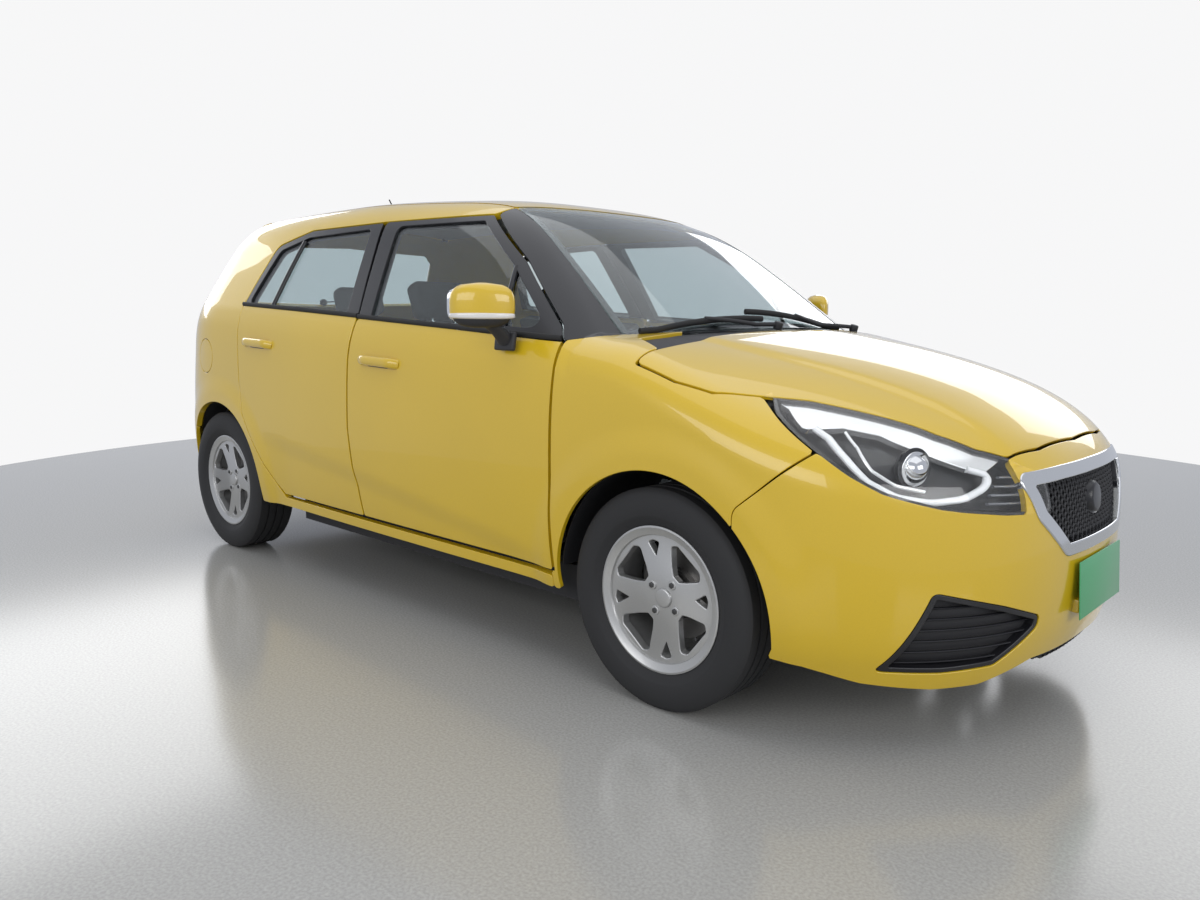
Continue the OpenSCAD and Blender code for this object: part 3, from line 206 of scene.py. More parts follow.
def outward(p):
    """Unit normals of the skin."""
    n = np.stack([depth(*(p + e).T) - depth(*(p - e).T) for e in np.eye(3) * 1.5], 1)
    return n / np.maximum(np.linalg.norm(n, axis=1), 1e-9)[:, None]


# A chart unrolls the skin to a flat sheet in millimetres: u and v to a ray, and a point to u and v.
# Its rays start at an eye or a line inside the car, and its scale is in millimetres per radian.
SIDE_Z, SIDE_SCALE = 700, 800
NOSE_EYE, REAR_EYE, END_SCALE = 1330, -1330, 650
LID_Z, LID_SCALE = 1000, 600


def side_chart(u, v):
    a = v / SIDE_SCALE
    return np.stack([u, 0 * u, 0 * u + SIDE_Z], 1), np.stack([0 * u, -np.cos(a), np.sin(a)], 1)


def side_spot(p):
    return np.stack([p[:, 0], SIDE_SCALE * np.arctan2(p[:, 2] - SIDE_Z, np.abs(p[:, 1]))], 1)


def top_chart(u, v):
    return np.stack([u, v, 0 * u + 500], 1), np.stack([0 * u, 0 * u, 0 * u + 1], 1)


def top_spot(p):
    return p[:, :2].copy()


def nose_chart(u, v):
    a = u / END_SCALE
    return np.stack([0 * u + NOSE_EYE, 0 * u, v], 1), np.stack([np.cos(a), np.sin(a), 0 * u], 1)


def nose_spot(p):
    return np.stack([END_SCALE * np.arctan2(p[:, 1], p[:, 0] - NOSE_EYE), p[:, 2]], 1)


def rear_chart(u, v):
    a = u / END_SCALE
    return np.stack([0 * u + REAR_EYE, 0 * u, v], 1), np.stack([-np.cos(a), np.sin(a), 0 * u], 1)


def rear_spot(p):
    return np.stack([END_SCALE * np.arctan2(p[:, 1], REAR_EYE - p[:, 0]), p[:, 2]], 1)


def lid_chart(u, v):
    a = np.maximum(v - LID_Z, 0) / LID_SCALE
    return np.stack([0 * u + REAR_EYE, u, np.minimum(v, LID_Z)],
                    1), np.stack([-np.cos(a), 0 * u, np.sin(a)], 1)


def lid_spot(p):
    tilt = np.arctan2(p[:, 2] - LID_Z, REAR_EYE - p[:, 0])
    return np.stack([p[:, 1], np.where(p[:, 2] < LID_Z, p[:, 2], LID_Z + LID_SCALE * tilt)], 1)


# Round the headlamp the skin turns both ways, so this chart looks out from a point inside it
LAMP_EYE, LAMP_SCALE = np.array([1500, -250, 560]), 550


def lamp_chart(u, v):
    a, e = u / LAMP_SCALE, v / LAMP_SCALE
    way = np.stack([np.cos(e) * np.cos(a), -np.cos(e) * np.sin(a), np.sin(e)], 1)
    return np.tile(LAMP_EYE, (len(u), 1)), way


def lamp_spot(p):
    q = p - LAMP_EYE
    rise = np.arctan2(q[:, 2], np.hypot(q[:, 0], q[:, 1]))
    return np.stack([LAMP_SCALE * np.arctan2(-q[:, 1], q[:, 0]), LAMP_SCALE * rise], 1)


CHARTS = {"lamp": (lamp_chart, lamp_spot), "side": (side_chart, side_spot), "top": (top_chart, top_spot),
          "nose": (nose_chart, nose_spot), "rear": (rear_chart, rear_spot), "lid": (lid_chart, lid_spot)}


def on_chart(chart, u, v, sunk=0.0):
    """Skin points at places on a chart, sunk by so many millimetres."""
    return cast(*CHARTS[chart][0](np.asarray(u, float), np.asarray(v, float)), 1300, sunk)


def fillet(points, closed=True):
    """Rounds each corner given as (a, b, radius), then walks the line in short steps."""
    n, line = len(points), []
    for i, corner in enumerate(points):
        p = np.array(corner[:2], float)
        r = corner[2] if len(corner) > 2 else 0
        if r and (closed or 0 < i < n - 1):
            a, b = np.array(points[i - 1][:2], float) - p, np.array(points[(i + 1) % n][:2], float) - p
            la, lb = np.linalg.norm(a), np.linalg.norm(b)
            half = math.acos(np.clip(a @ b / (la * lb), -1, 1)) / 2
            t = min(r / max(math.tan(half), 1e-3), la * 0.48, lb * 0.48)
            s, e = p + a / la * t, p + b / lb * t
            line += [s * (1 - k)**2 + p * 2 * k * (1 - k) + e * k * k for k in np.linspace(0, 1, 9)]
        else:
            line.append(p)
    return np.array(line)


def paced(line, step, closed=True):
    """Adds points so that none are further apart than the step."""
    out, n = [], len(line)
    for i in range(n if closed else n - 1):
        a, b = line[i], line[(i + 1) % n]
        gap = np.linalg.norm(b - a)
        if gap < 0.4:
            continue
        k = max(1, math.ceil(gap / step))
        out += [a + (b - a) * j / k for j in range(k)]
    if not closed:
        out.append(line[-1])
    return np.array(out)


def on_skin(view, points):
    """Skin points of a line drawn in side view (x, z), plan (x, y), or nose or end view (y, z)."""
    a, b = np.asarray(points, float).T
    o = 0 * a
    if view == "side":
        return cast(np.stack([a, o, b], 1), np.stack([o, o - 1, o], 1), 1000)
    if view == "plan":
        return cast(np.stack([a, b, o + 500], 1), np.stack([o, o, o + 1], 1), 1200)
    if view == "nose":
        return cast(np.stack([o + NOSE_EYE, a, b], 1), np.stack([o + 1, o, o], 1), 900)
    return cast(np.stack([o + REAR_EYE, a, b], 1), np.stack([o - 1, o, o], 1), 900)


def outline(chart, parts, step=11):
    """A closed line on a chart, from parts drawn in any view."""
    spots = []
    for view, points in parts:
        line = paced(fillet(points, closed=len(parts) == 1), 8, closed=len(parts) == 1)
        spots.append(CHARTS[chart][1](on_skin(view, line)))
    return paced(np.concatenate(spots), step)


def offset(line, d):
    """Moves a closed line inwards by d; its turn direction tells which side that is."""
    ahead_, behind = np.roll(line, -1, 0), np.roll(line, 1, 0)
    tangent = ahead_ - behind
    tangent /= np.maximum(np.linalg.norm(tangent, axis=1), 1e-9)[:, None]
    area = np.sum(line[:, 0] * ahead_[:, 1] - ahead_[:, 0] * line[:, 1])
    side = np.stack([-tangent[:, 1], tangent[:, 0]], 1) * (1 if area > 0 else -1)
    moved = line + side * d
    # Points that crossed over at a tight corner are dropped
    along = ahead_ - line
    t = ((moved[:, None] - line) * along).sum(2) / np.maximum((along**2).sum(1), 1e-9)
    near = line + along * np.clip(t, 0, 1)[:, :, None]
    return moved[np.linalg.norm(moved[:, None] - near, axis=2).min(1) > abs(d) - 0.25]


def inside(points, line):
    x, y = points[:, 0][:, None], points[:, 1][:, None]
    x0, y0, x1, y1 = line[:, 0], line[:, 1], np.roll(line[:, 0], -1), np.roll(line[:, 1], -1)
    cross = ((y0 > y) != (y1 > y)) & (x < (x1 - x0) * (y - y0) / (y1 - y0 + 1e-12) + x0)
    return cross.sum(1) % 2 == 1


def far_from(points, line, d):
    keep = np.ones(len(points), bool)
    for k in range(0, len(points), 4000):
        gap = points[k:k + 4000, None, :] - line[None, :, :]
        keep[k:k + 4000] = (gap**2).sum(2).min(1) > d * d
    return keep


def band(top, low, top_n, low_n, flip):
    """Two triangles for each step between two rows of points, with their corner normals."""
    q = np.stack([top, np.roll(top, -1), np.roll(low, -1), low], 1)
    qn = np.stack([top_n, np.roll(top_n, -1, 0), np.roll(low_n, -1, 0), low_n], 1)
    if flip:
        q, qn = q[:, ::-1], qn[:, ::-1]
    return [q[:, [0, 2, 1]], q[:, [0, 3, 2]]], [qn[:, [0, 2, 1]], qn[:, [0, 3, 2]]]


def skin_panel(name, chart, ring, holes=(), thick=14.0, gap=2.5, roll_r=2.2, grid=17.0, sunk=0.0,
               material=None, body="root", mirror=False, surface=None):
    """A closed sheet on the skin inside the ring, less its holes, with rolled edges."""
    loops = [offset(ring, gap + roll_r)] + [offset(h, -gap - roll_r) for h in holes]
    lo, hi = loops[0].min(0), loops[0].max(0)
    gu, gv = np.meshgrid(np.arange(lo[0] + grid / 2, hi[0], grid),
                         np.arange(lo[1] + grid / 2, hi[1], grid * 0.87))
    gu = gu + (np.arange(gu.shape[0]) % 2)[:, None] * grid / 2
    free = np.stack([gu.ravel(), gv.ravel()], 1)
    free = free[inside(free, loops[0])]
    for h in loops[1:]:
        free = free[~inside(free, h)]
    for line in loops:
        free = free[far_from(free, line, grid * 0.6)]
    flat = np.concatenate(loops + [free])
    edges, base = [], 0
    for line in loops:
        edges += [(base + i, base + (i + 1) % len(line)) for i in range(len(line))]
        base += len(line)
    spots, _, faces, source, _, _ = geometry.delaunay_2d_cdt([Vector(p) for p in flat], edges, [], 0, 1e-4)
    spots = np.array([tuple(s) for s in spots])
    faces = np.array([f for f in faces if len(f) == 3])
    middle = spots[faces].mean(1)
    keep = inside(middle, loops[0])
    for h in loops[1:]:
        keep &= ~inside(middle, h)
    faces = faces[keep]
    a, b, c = (spots[faces[:, k]] for k in range(3))
    turned = (b[:, 0] - a[:, 0]) * (c[:, 1] - a[:, 1]) - (b[:, 1] - a[:, 1]) * (c[:, 0] - a[:, 0]) < 0
    faces[turned] = faces[turned][:, ::-1]
    if surface:
        p, n = surface(spots[:, 0], spots[:, 1])
    else:
        p = on_chart(chart, spots[:, 0], spots[:, 1], sunk)
        n = outward(p)
    # Which way round the chart's triangles face
    probe = p[faces[0]]
    if np.dot(np.cross(probe[1] - probe[0], probe[2] - probe[0]), n[faces[0][0]]) < 0:
        faces = faces[:, ::-1]
    old = {}
    for i, from_ in enumerate(source):
        for k in from_:
            old[k] = i
    verts, tris, corner_n = [p], [faces], [n[faces]]
    count, base = len(p), 0
    back_points = p - n * thick
    back_base = len(p) + 3 * sum(len(line) for line in loops)
    for line in loops:
        k = len(line)
        ids = np.array([old[base + i] for i in range(k)])
        base += k
        around = p[np.roll(ids, -1)] - p[np.roll(ids, 1)]
        out = np.cross(around, n[ids])
        out /= np.maximum(np.linalg.norm(out, axis=1), 1e-9)[:, None]
        # The outward side of a ring is the one with no sheet: compare with a face beside it
        face = faces[np.any(np.isin(faces, ids), axis=1)][0]
        at = int(np.nonzero(np.isin(ids, face))[0][0])
        flip = np.dot(out[at], p[face].mean(0) - p[ids[at]]) > 0
        if flip:
            out = -out
        rows, row_n = [ids], [n[ids]]
        for degrees in (30, 60, 90):
            a_ = math.radians(degrees)
            verts.append(p[ids] + out * roll_r * math.sin(a_) - n[ids] * roll_r * (1 - math.cos(a_)))
            rows.append(np.arange(count, count + k))
            row_n.append(n[ids] * math.cos(a_) + out * math.sin(a_))
            count += k
        back_points[ids] = p[ids] + out * roll_r - n[ids] * thick
        bands = [band(rows[r], rows[r + 1], row_n[r], row_n[r + 1], flip) for r in range(3)]
        for t, tn in bands + [band(rows[3], ids + back_base, out, out, flip)]:
            tris += t
            corner_n += tn
    verts.append(back_points)
    tris.append(faces[:, ::-1] + back_base)
    corner_n.append(-n[faces[:, ::-1]])
    return finish_panel(name, np.concatenate(verts), np.concatenate(tris), np.concatenate(corner_n),
                        material, body, mirror)


def finish_panel(name, verts, tris, corner_n, material, body, mirror=False):
    if mirror:
        verts, corner_n = verts * [1, -1, 1], corner_n * [1, -1, 1]
        tris, corner_n = tris[:, ::-1], corner_n[:, ::-1]
    mesh = bpy.data.meshes.new(name)
    mesh.from_pydata((verts / 1000).tolist(), [], tris.tolist())
    mesh.polygons.foreach_set("use_smooth", [True] * len(mesh.polygons))
    flat_n = corner_n.reshape(-1, 3)
    flat_n = flat_n / np.maximum(np.linalg.norm(flat_n, axis=1), 1e-9)[:, None]
    mesh.normals_split_custom_set(flat_n.tolist())
    piece = bpy.data.objects.new(name, mesh)
    scene.collection.objects.link(piece)
    if material:
        mesh.materials.append(material)
    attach(piece, body)
    return piece


def new_finish(name, colour, roughness, metallic=0.0, coat=0.0, coat_roughness=0.03):
    finish = bpy.data.materials.new(name)
    finish.use_nodes = True
    shader = finish.node_tree.nodes["Principled BSDF"]
    shader.inputs["Base Color"].default_value = (*colour, 1)
    shader.inputs["Roughness"].default_value = roughness
    shader.inputs["Metallic"].default_value = metallic
    shader.inputs["Coat Weight"].default_value = coat
    shader.inputs["Coat Roughness"].default_value = coat_roughness
    return finish


# Shared surface effect: a fine uneven grain, with its shade and its height
grain_group = bpy.data.node_groups.new("surface_grain", "ShaderNodeTree")
for way, sockets in (("INPUT", ("Scale", "Colour", "Variation", "Base Roughness")),
                     ("OUTPUT", ("Colour", "Roughness", "Height"))):
    for socket in sockets:
        kind = "NodeSocketColor" if socket == "Colour" else "NodeSocketFloat"
        grain_group.interface.new_socket(socket, in_out=way, socket_type=kind)
g_nodes, g_links = grain_group.nodes, grain_group.links
g_in, g_out = g_nodes.new("NodeGroupInput"), g_nodes.new("NodeGroupOutput")
g_place = g_nodes.new("ShaderNodeTexCoord")
g_fine, g_broad = g_nodes.new("ShaderNodeTexNoise"), g_nodes.new("ShaderNodeTexNoise")
g_fine.inputs["Detail"].default_value = 3
g_broad.inputs["Scale"].default_value = 2.3
g_shade = g_nodes.new("ShaderNodeMapRange")
g_shade.inputs["From Min"].default_value, g_shade.inputs["From Max"].default_value = 0.3, 0.7
g_low, g_high = g_nodes.new("ShaderNodeMath"), g_nodes.new("ShaderNodeMath")
g_low.operation, g_high.operation = "SUBTRACT", "ADD"
g_low.inputs[0].default_value = g_high.inputs[0].default_value = 1.0
g_tint = g_nodes.new("ShaderNodeVectorMath")
g_tint.operation = "SCALE"
g_sum, g_rough, g_half = (g_nodes.new("ShaderNodeMath") for _ in range(3))
g_sum.operation, g_rough.operation, g_half.operation = "ADD", "MULTIPLY", "MULTIPLY"
g_half.inputs[1].default_value = 0.5
g_links.new(g_place.outputs["Object"], g_fine.inputs["Vector"])
g_links.new(g_place.outputs["Object"], g_broad.inputs["Vector"])
g_links.new(g_in.outputs["Scale"], g_fine.inputs["Scale"])
g_links.new(g_fine.outputs["Fac"], g_sum.inputs[0])
g_links.new(g_broad.outputs["Fac"], g_sum.inputs[1])
g_links.new(g_sum.outputs[0], g_half.inputs[0])
g_links.new(g_half.outputs[0], g_shade.inputs["Value"])
g_links.new(g_in.outputs["Variation"], g_low.inputs[1])
g_links.new(g_in.outputs["Variation"], g_high.inputs[1])
g_links.new(g_low.outputs[0], g_shade.inputs["To Min"])
g_links.new(g_high.outputs[0], g_shade.inputs["To Max"])
g_links.new(g_in.outputs["Colour"], g_tint.inputs[0])
g_links.new(g_shade.outputs["Result"], g_tint.inputs["Scale"])
g_links.new(g_tint.outputs[0], g_out.inputs["Colour"])
g_links.new(g_in.outputs["Base Roughness"], g_rough.inputs[0])
g_links.new(g_shade.outputs["Result"], g_rough.inputs[1])
g_links.new(g_rough.outputs[0], g_out.inputs["Roughness"])
g_links.new(g_fine.outputs["Fac"], g_out.inputs["Height"])


def grained(name, colour, roughness, scale, variation, bump, metallic=0.0, coat=0.0, coat_roughness=0.03):
    """A finish with the shared grain: its tint, gloss and height vary over the surface."""
    finish = new_finish(name, colour, roughness, metallic, coat, coat_roughness)
    n, l = finish.node_tree.nodes, finish.node_tree.links
    shader = n["Principled BSDF"]
    grain = n.new("ShaderNodeGroup")
    grain.node_tree = grain_group
    grain.inputs["Scale"].default_value = scale
    grain.inputs["Colour"].default_value = (*colour, 1)
    grain.inputs["Variation"].default_value = variation
    grain.inputs["Base Roughness"].default_value = roughness
    lift = n.new("ShaderNodeBump")
    lift.inputs["Strength"].default_value = bump
    lift.inputs["Distance"].default_value = 0.0006
    l.new(grain.outputs["Colour"], shader.inputs["Base Color"])
    l.new(grain.outputs["Roughness"], shader.inputs["Roughness"])
    l.new(grain.outputs["Height"], lift.inputs["Height"])
    l.new(lift.outputs["Normal"], shader.inputs["Normal"])
    return finish


yellow_paint = grained("yellow_gloss_paint", (0.66, 0.44, 0.010), 0.30, 260, 0.035, 0.03, coat=1.0,
                       coat_roughness=0.02)
black_gloss = grained("black_gloss_trim", (0.010, 0.010, 0.012), 0.32, 300, 0.08, 0.03, coat=0.15)
black_plastic = grained("black_grained_plastic", (0.022, 0.022, 0.024), 0.55, 900, 0.14, 0.30)
rubber_seal = grained("black_rubber_seal", (0.012, 0.012, 0.012), 0.70, 700, 0.12, 0.15)
dark_steel = grained("dark_sealed_steel", (0.035, 0.035, 0.037), 0.62, 180, 0.20, 0.25)

DOOR_FRONT = [[795, 300], [787, 500], [786, 760], [788, 900], [782, 985]]
B_LINE = [[-361, 1404], [-330, 1290], [-264, 1034], [-278, 900], [-280, 640], [-252, 450], [-228, 300]]
REAR_TOP = [[-860, 1396], [-1078, 1338], [-1146, 1088]]
REAR_BACK = [[-1150, 980], [-1135, 760], [-1110, 640], [-1040, 540], [-945, 425], [-880, 362], [-815, 305]]
ROOF_EDGE = [[222, -490], [-400, -500], [-1000, -498], [-1415, -491]]
TAIL_EDGE = [[-562, 1360], [-618, 1200], [-632, 1085]]
LAMP_EDGE = [[-1735, 1052], [-1790, 930], [-1905, 790]]
BUMPER_EDGE = [[-1925, 768], [-1760, 742, 60], [-1640, 640, 60]]


def arc(cx, cz, r, a0, a1, n=24):
    return [[cx + r * math.cos(math.radians(a)),
             cz + r * math.sin(math.radians(a))] for a in np.linspace(a0, a1, n)]


def smooth(points, r):
    return [[p[0], p[1], r] for p in points]


body_ring = outline("side", [
    ("side", [[786, 262], [786, 300], [795, 303], [-228, 303], REAR_BACK[-1]]),
    ("side",
     smooth(REAR_BACK[::-1], 90) + smooth(REAR_TOP[::-1], 60) + smooth([B_LINE[0], [222, 1401]], 200)),
    ("plan", [[236, -520], [240, -492]] + smooth(ROOF_EDGE[1:], 300)),
    ("end", smooth([[-550, 1440]] + TAIL_EDGE, 60)),
    ("side", smooth(LAMP_EDGE, 40) + BUMPER_EDGE),
    ("side", arc(REAR_AXLE, AXLE_Z, ARCH_R, 144, -7, 50) + [[-960, 262]]),
])
flap_ring = outline("side", [("side", [[-1465 + 76 * math.cos(t), 862 + 76 * math.sin(t)]
                                       for t in np.linspace(0, 2 * math.pi, 41)[:-1]])])
for side, mirror in SIDES:
    panel = skin_panel("side_frame_panel_" + side, "side", body_ring, holes=[] if mirror else [flap_ring],
                       thick=24, material=yellow_paint, mirror=mirror, gap=0.5)
    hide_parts("side_frame_" + side)


# ---- A-pillar covers ----
# Gloss black moulded covers over the windscreen pillars, from the roof down to the fender's top
# edge. They clip on to the side frames and belong to them.
pillar_ring = outline("side", [
    ("plan", [[243, -494], [400, -534], [560, -573], [884, -652]]),
    ("side", [[948, 1014], [790, 991], [784, 990]]),
    ("side", [[752, 1036], [500, 1233], [236, 1399]]),
])
for side, mirror in SIDES:
    cover = skin_panel("a_pillar_cover_" + side, "side", pillar_ring, thick=20, material=black_gloss,
                       mirror=mirror, gap=0.8,
                       roll_r=1.6, grid=14)
    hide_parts("side_frame_" + side)


# ---- Roof ----
# One pressed steel sheet, welded between the side frames in a narrow ditch on each side and painted
# with the body.
def half_line(chart, parts, step=11):
    """An open line on a chart, from parts drawn in any view."""
    spots = []
    for view, points in parts:
        spots.append(CHARTS[chart][1](on_skin(view, paced(fillet(points, closed=False), 8, closed=False))))
    return paced(np.concatenate(spots), step, closed=False)


def mirrored(chart, parts):
    """Closes a half line, drawn from the middle and back to it, with its mirror image."""
    half = half_line(chart, parts)
    return np.concatenate([half, (half * ([1, -1] if chart == "top" else [-1, 1]))[::-1]])


roof_ring = mirrored("top", [
    ("plan",
     smooth([[312, -1], [306, -150], [290, -300]], 200) + [[232, -486, 25]] + smooth(ROOF_EDGE[1:3], 300)
     + [[-1412, -490, 25], [-1418, -300], [-1420, -1]])])
roof = skin_panel("roof_skin", "top", roof_ring, thick=20, gap=1.2, material=yellow_paint)
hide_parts("roof_panel")

# ---- Windscreen ----
# Laminated glass bonded into the opening, over a black printed border that hides the adhesive. The
# same tinted glass is used for the door windows and the tailgate.
def clear_finish(name, tint, roughness, ior, coat, coat_roughness, smear_scale, smear_most):
    """A clear finish whose gloss is a little uneven, as if wiped."""
    finish = new_finish(name, tint, roughness, coat=coat, coat_roughness=coat_roughness)
    n, l = finish.node_tree.nodes, finish.node_tree.links
    shader = n["Principled BSDF"]
    shader.inputs["Transmission Weight"].default_value = 1.0
    shader.inputs["IOR"].default_value = ior
    smear, spread = n.new("ShaderNodeTexNoise"), n.new("ShaderNodeMapRange")
    place = n.new("ShaderNodeTexCoord")
    smear.inputs["Scale"].default_value = smear_scale
    spread.inputs["To Min"].default_value, spread.inputs["To Max"].default_value = 0.0, smear_most
    l.new(place.outputs["Object"], smear.inputs["Vector"])
    l.new(smear.outputs["Fac"], spread.inputs["Value"])
    l.new(spread.outputs["Result"], shader.inputs["Roughness"])
    return finish


window_glass = clear_finish("tinted_glass", (0.62, 0.70, 0.72), 0.02, 1.05, 1.0, 0.01, 3.0, 0.04)
screen_ring = mirrored("top", [
    ("plan", smooth([[985, -1], [979, -150], [962, -300]], 200) + [[893, -650, 40], [560, -575, 300]]
     + [[226, -487, 40], [290, -300, 200], [306, -150], [312, -1]])])
screen = skin_panel("windscreen_glass", "top", screen_ring, thick=4.5, gap=1.5, roll_r=1.2, sunk=1.5,
                    grid=30, material=window_glass)
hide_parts("windscreen")
border = skin_panel("windscreen_border", "top", screen_ring, holes=[offset(screen_ring, 34)], thick=2,
                    gap=2, roll_r=0.5,
                    sunk=8.5, grid=24, material=black_gloss)
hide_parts("windscreen")

# ---- Doors ----
# Each door is a hemmed steel shell, painted below the belt, with a black covered window frame above
# it. Its glass winds down into it; the trim inside it and the seal on its belt are further on.
def door_piece(name, parts, body, holes=(), **kind):
    ring = outline("side", parts)
    made = []
    for side, mirror in SIDES:
        piece = skin_panel(name + "_" + side, "side", ring, holes=holes, mirror=mirror,
                           body=body + "_" + side, **kind)
        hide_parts(body + "_" + side)
        made.append(piece)
    return made


FRONT_GLASS = [[702, 1027, 30], [460, 1214, 60], [205, 1374, 30], [-264, 1378, 25], [-184, 1045, 20]]
REAR_GLASS = [[-348, 1056, 20], [-434, 1376, 25], [-850, 1362, 120], [-1036, 1314, 40], [-1104, 1096, 30]]
FRONT_SKIN = ([[795, 316, 14]] + smooth(DOOR_FRONT[1:4], 60) + [[784, 990, 6], [260, 1019], [-263, 1046, 4]]
              + smooth(B_LINE[3:6], 120) + [[-228, 316, 14]])
FRONT_FRAME = [[781, 995, 6], [752, 1033, 40], [500, 1230, 200], [222, 1397, 40], [-361, 1404, 18],
               [-330, 1290, 60],
               [-264, 1050, 4], [260, 1023]]
REAR_SKIN = ([[-231, 316, 14]] + smooth([[-255, 450], [-283, 640], [-281, 900]], 120)
             + [[-267, 1048, 4], [-700, 1070], [-1148, 1090, 4]]
             + smooth([[-1149, 985], [-1135, 760], [-1110, 640], [-1040, 540], [-945, 425], [-880, 362]],
                      90)
             + [[-815, 316, 14]])
REAR_FRAME = [[-267, 1052, 4], [-340, 1290, 60], [-376, 1402, 18], [-856, 1395, 120], [-1075, 1336, 60],
              [-1144, 1094, 4], [-700, 1074]]
skins, frames = [], []
for door, skin_line, frame_line, glass_line in (("front_door", FRONT_SKIN, FRONT_FRAME, FRONT_GLASS),
                                                ("rear_door", REAR_SKIN, REAR_FRAME, REAR_GLASS)):
    skins += door_piece(door + "_skin", [("side", skin_line)], door, thick=30, material=yellow_paint)
    frames += door_piece(door + "_frame", [("side", frame_line)], door,
                         holes=[outline("side", [("side", glass_line)])],
                         thick=30, material=black_gloss, grid=14)
for node, parts, glass in (("front", FRONT_GLASS, "front_window"), ("rear", REAR_GLASS, "rear_window")):
    ring = outline("side", [("side", parts)])
    for side, mirror in SIDES:
        pane = skin_panel(glass + "_pane_" + side, "side", ring, thick=4, gap=-3, roll_r=1, sunk=9, grid=30,
                          material=window_glass,
                          mirror=mirror, body=node + "_door_" + side)
        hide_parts(glass + "_" + side)

# ---- Front fenders ----
# Pressed steel panels round the front wheels, flared at the arch lip. They bolt on between the
# front door, the hood and the bumper.
HOOD_SIDE = [[1072, -803], [1200, -802], [1310, -782], [1412, -706]]
fender_ring = outline("side", [
    ("side", [[786, 262], [786, 318], [800, 321], [792, 500], [791, 760], [791, 900], [789, 991]]),
    ("side", [[800, 994], [945, 1017]]),
    ("plan", [[966, -668], [1062, -700], [1064, -800]] + HOOD_SIDE),
    ("side", [[1466, 834], [1540, 787], [1596, 752], [1425, 596, 120], [1425, 553]]),
    ("side", arc(FRONT_AXLE, AXLE_Z, ARCH_R, 43.7, 187, 46)),
])
for side, mirror in SIDES:
    fender = skin_panel("front_fender_" + side, "side", fender_ring, thick=14, gap=0.5,
                        material=yellow_paint, mirror=mirror)
    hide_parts("front_fenders")

# ---- Hood ----
# A pressed outer sheet hemmed over an inner frame, with two soft creases that run to the nose. It
# turns on two hinges under the cowl.
HOOD_EDGE = [[1066, -798, 18], [1200, -797, 100], [1310, -776, 60], [1412, -700, 60], [1500, -634, 100],
             [1600, -586, 100],
             [1774, -506, 100], [1850, -448, 80], [1902, -376, 60], [1925, -240, 80], [1936, -1]]
hood_ring = mirrored("top", [("plan", [[1074, -1], [1072, -500]] + HOOD_EDGE)])
hood = skin_panel("hood_skin", "top", hood_ring, thick=10, gap=0.0, roll_r=2.5, material=yellow_paint,
                  body="hood")
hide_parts("hood")

# ---- Front bumper ----
# A moulded and painted cover that makes the whole nose, with openings for the grille and for one air
# intake on each side. It clips to the fenders and to the crossmember behind it.
bumper_ring = mirrored("nose", [
    ("nose", [[-1, 222], [-300, 216, 80], [-450, 170, 60], [-560, 168]]),
    ("side", [[1700, 185], [1585, 218], [1505, 228]]),
    ("side", arc(FRONT_AXLE, AXLE_Z, ARCH_R, -8, 43.7, 16)
     + [[1425, 596, 120], [1600, 750, 6], [1613, 744], [1680, 700, 60], [1746, 662, 60], [1845, 626]]),
    ("nose", [[-560, 618, 30], [-450, 604], [-386, 600, 10], [-386, 664]]),
    ("plan", [[1903, -384], [1929, -242, 80], [1940, -1]]),
])
grille_hole = mirrored("nose", [("nose", [[-1, 488], [-215, 488, 25], [-330, 590, 60], [-376, 684, 12],
                                          [-200, 689], [-1, 690]])])
intake_hole = mirrored("nose", [("nose", [[-1, 190], [-240, 190, 20], [-272, 214, 14], [-168, 312, 20],
                                          [-1, 318]])])
SIDE_INTAKE = [[-618, 428, 16], [-450, 382, 60], [-316, 338, 24], [-318, 306, 24], [-432, 222, 24],
               [-560, 216, 60], [-682, 222, 14]]
side_hole = outline("nose", [("nose", SIDE_INTAKE)])
bumper = skin_panel("front_bumper_cover", "nose", bumper_ring,
                    holes=[grille_hole, side_hole, (side_hole * [-1, 1])[::-1]], thick=16,
                    gap=0.5, material=yellow_paint)
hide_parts("front_bumper")

# ---- Rear bumper ----
# A moulded and painted cover that wraps the tail from one rear arch to the other, with a cut for the
# tailgate's lower edge.
rear_ring = mirrored("rear", [
    ("end", [[-1, 208], [-500, 208, 60]]),
    ("side", [[-1900, 212], [-1720, 236], [-1690, 250]]),
    ("side",
     arc(REAR_AXLE, AXLE_Z, ARCH_R, 190, 144, 14) + [[-1640, 640, 60], [-1760, 740, 60], [-1920, 766]]),
    ("end", [[-561, 766], [-548, 765, 10], [-520, 690, 30], [-470, 632, 20], [-1, 631]]),
])
rear_cover = skin_panel("rear_bumper_cover", "rear", rear_ring, thick=16, gap=0.5, material=yellow_paint)
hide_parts("rear_bumper")

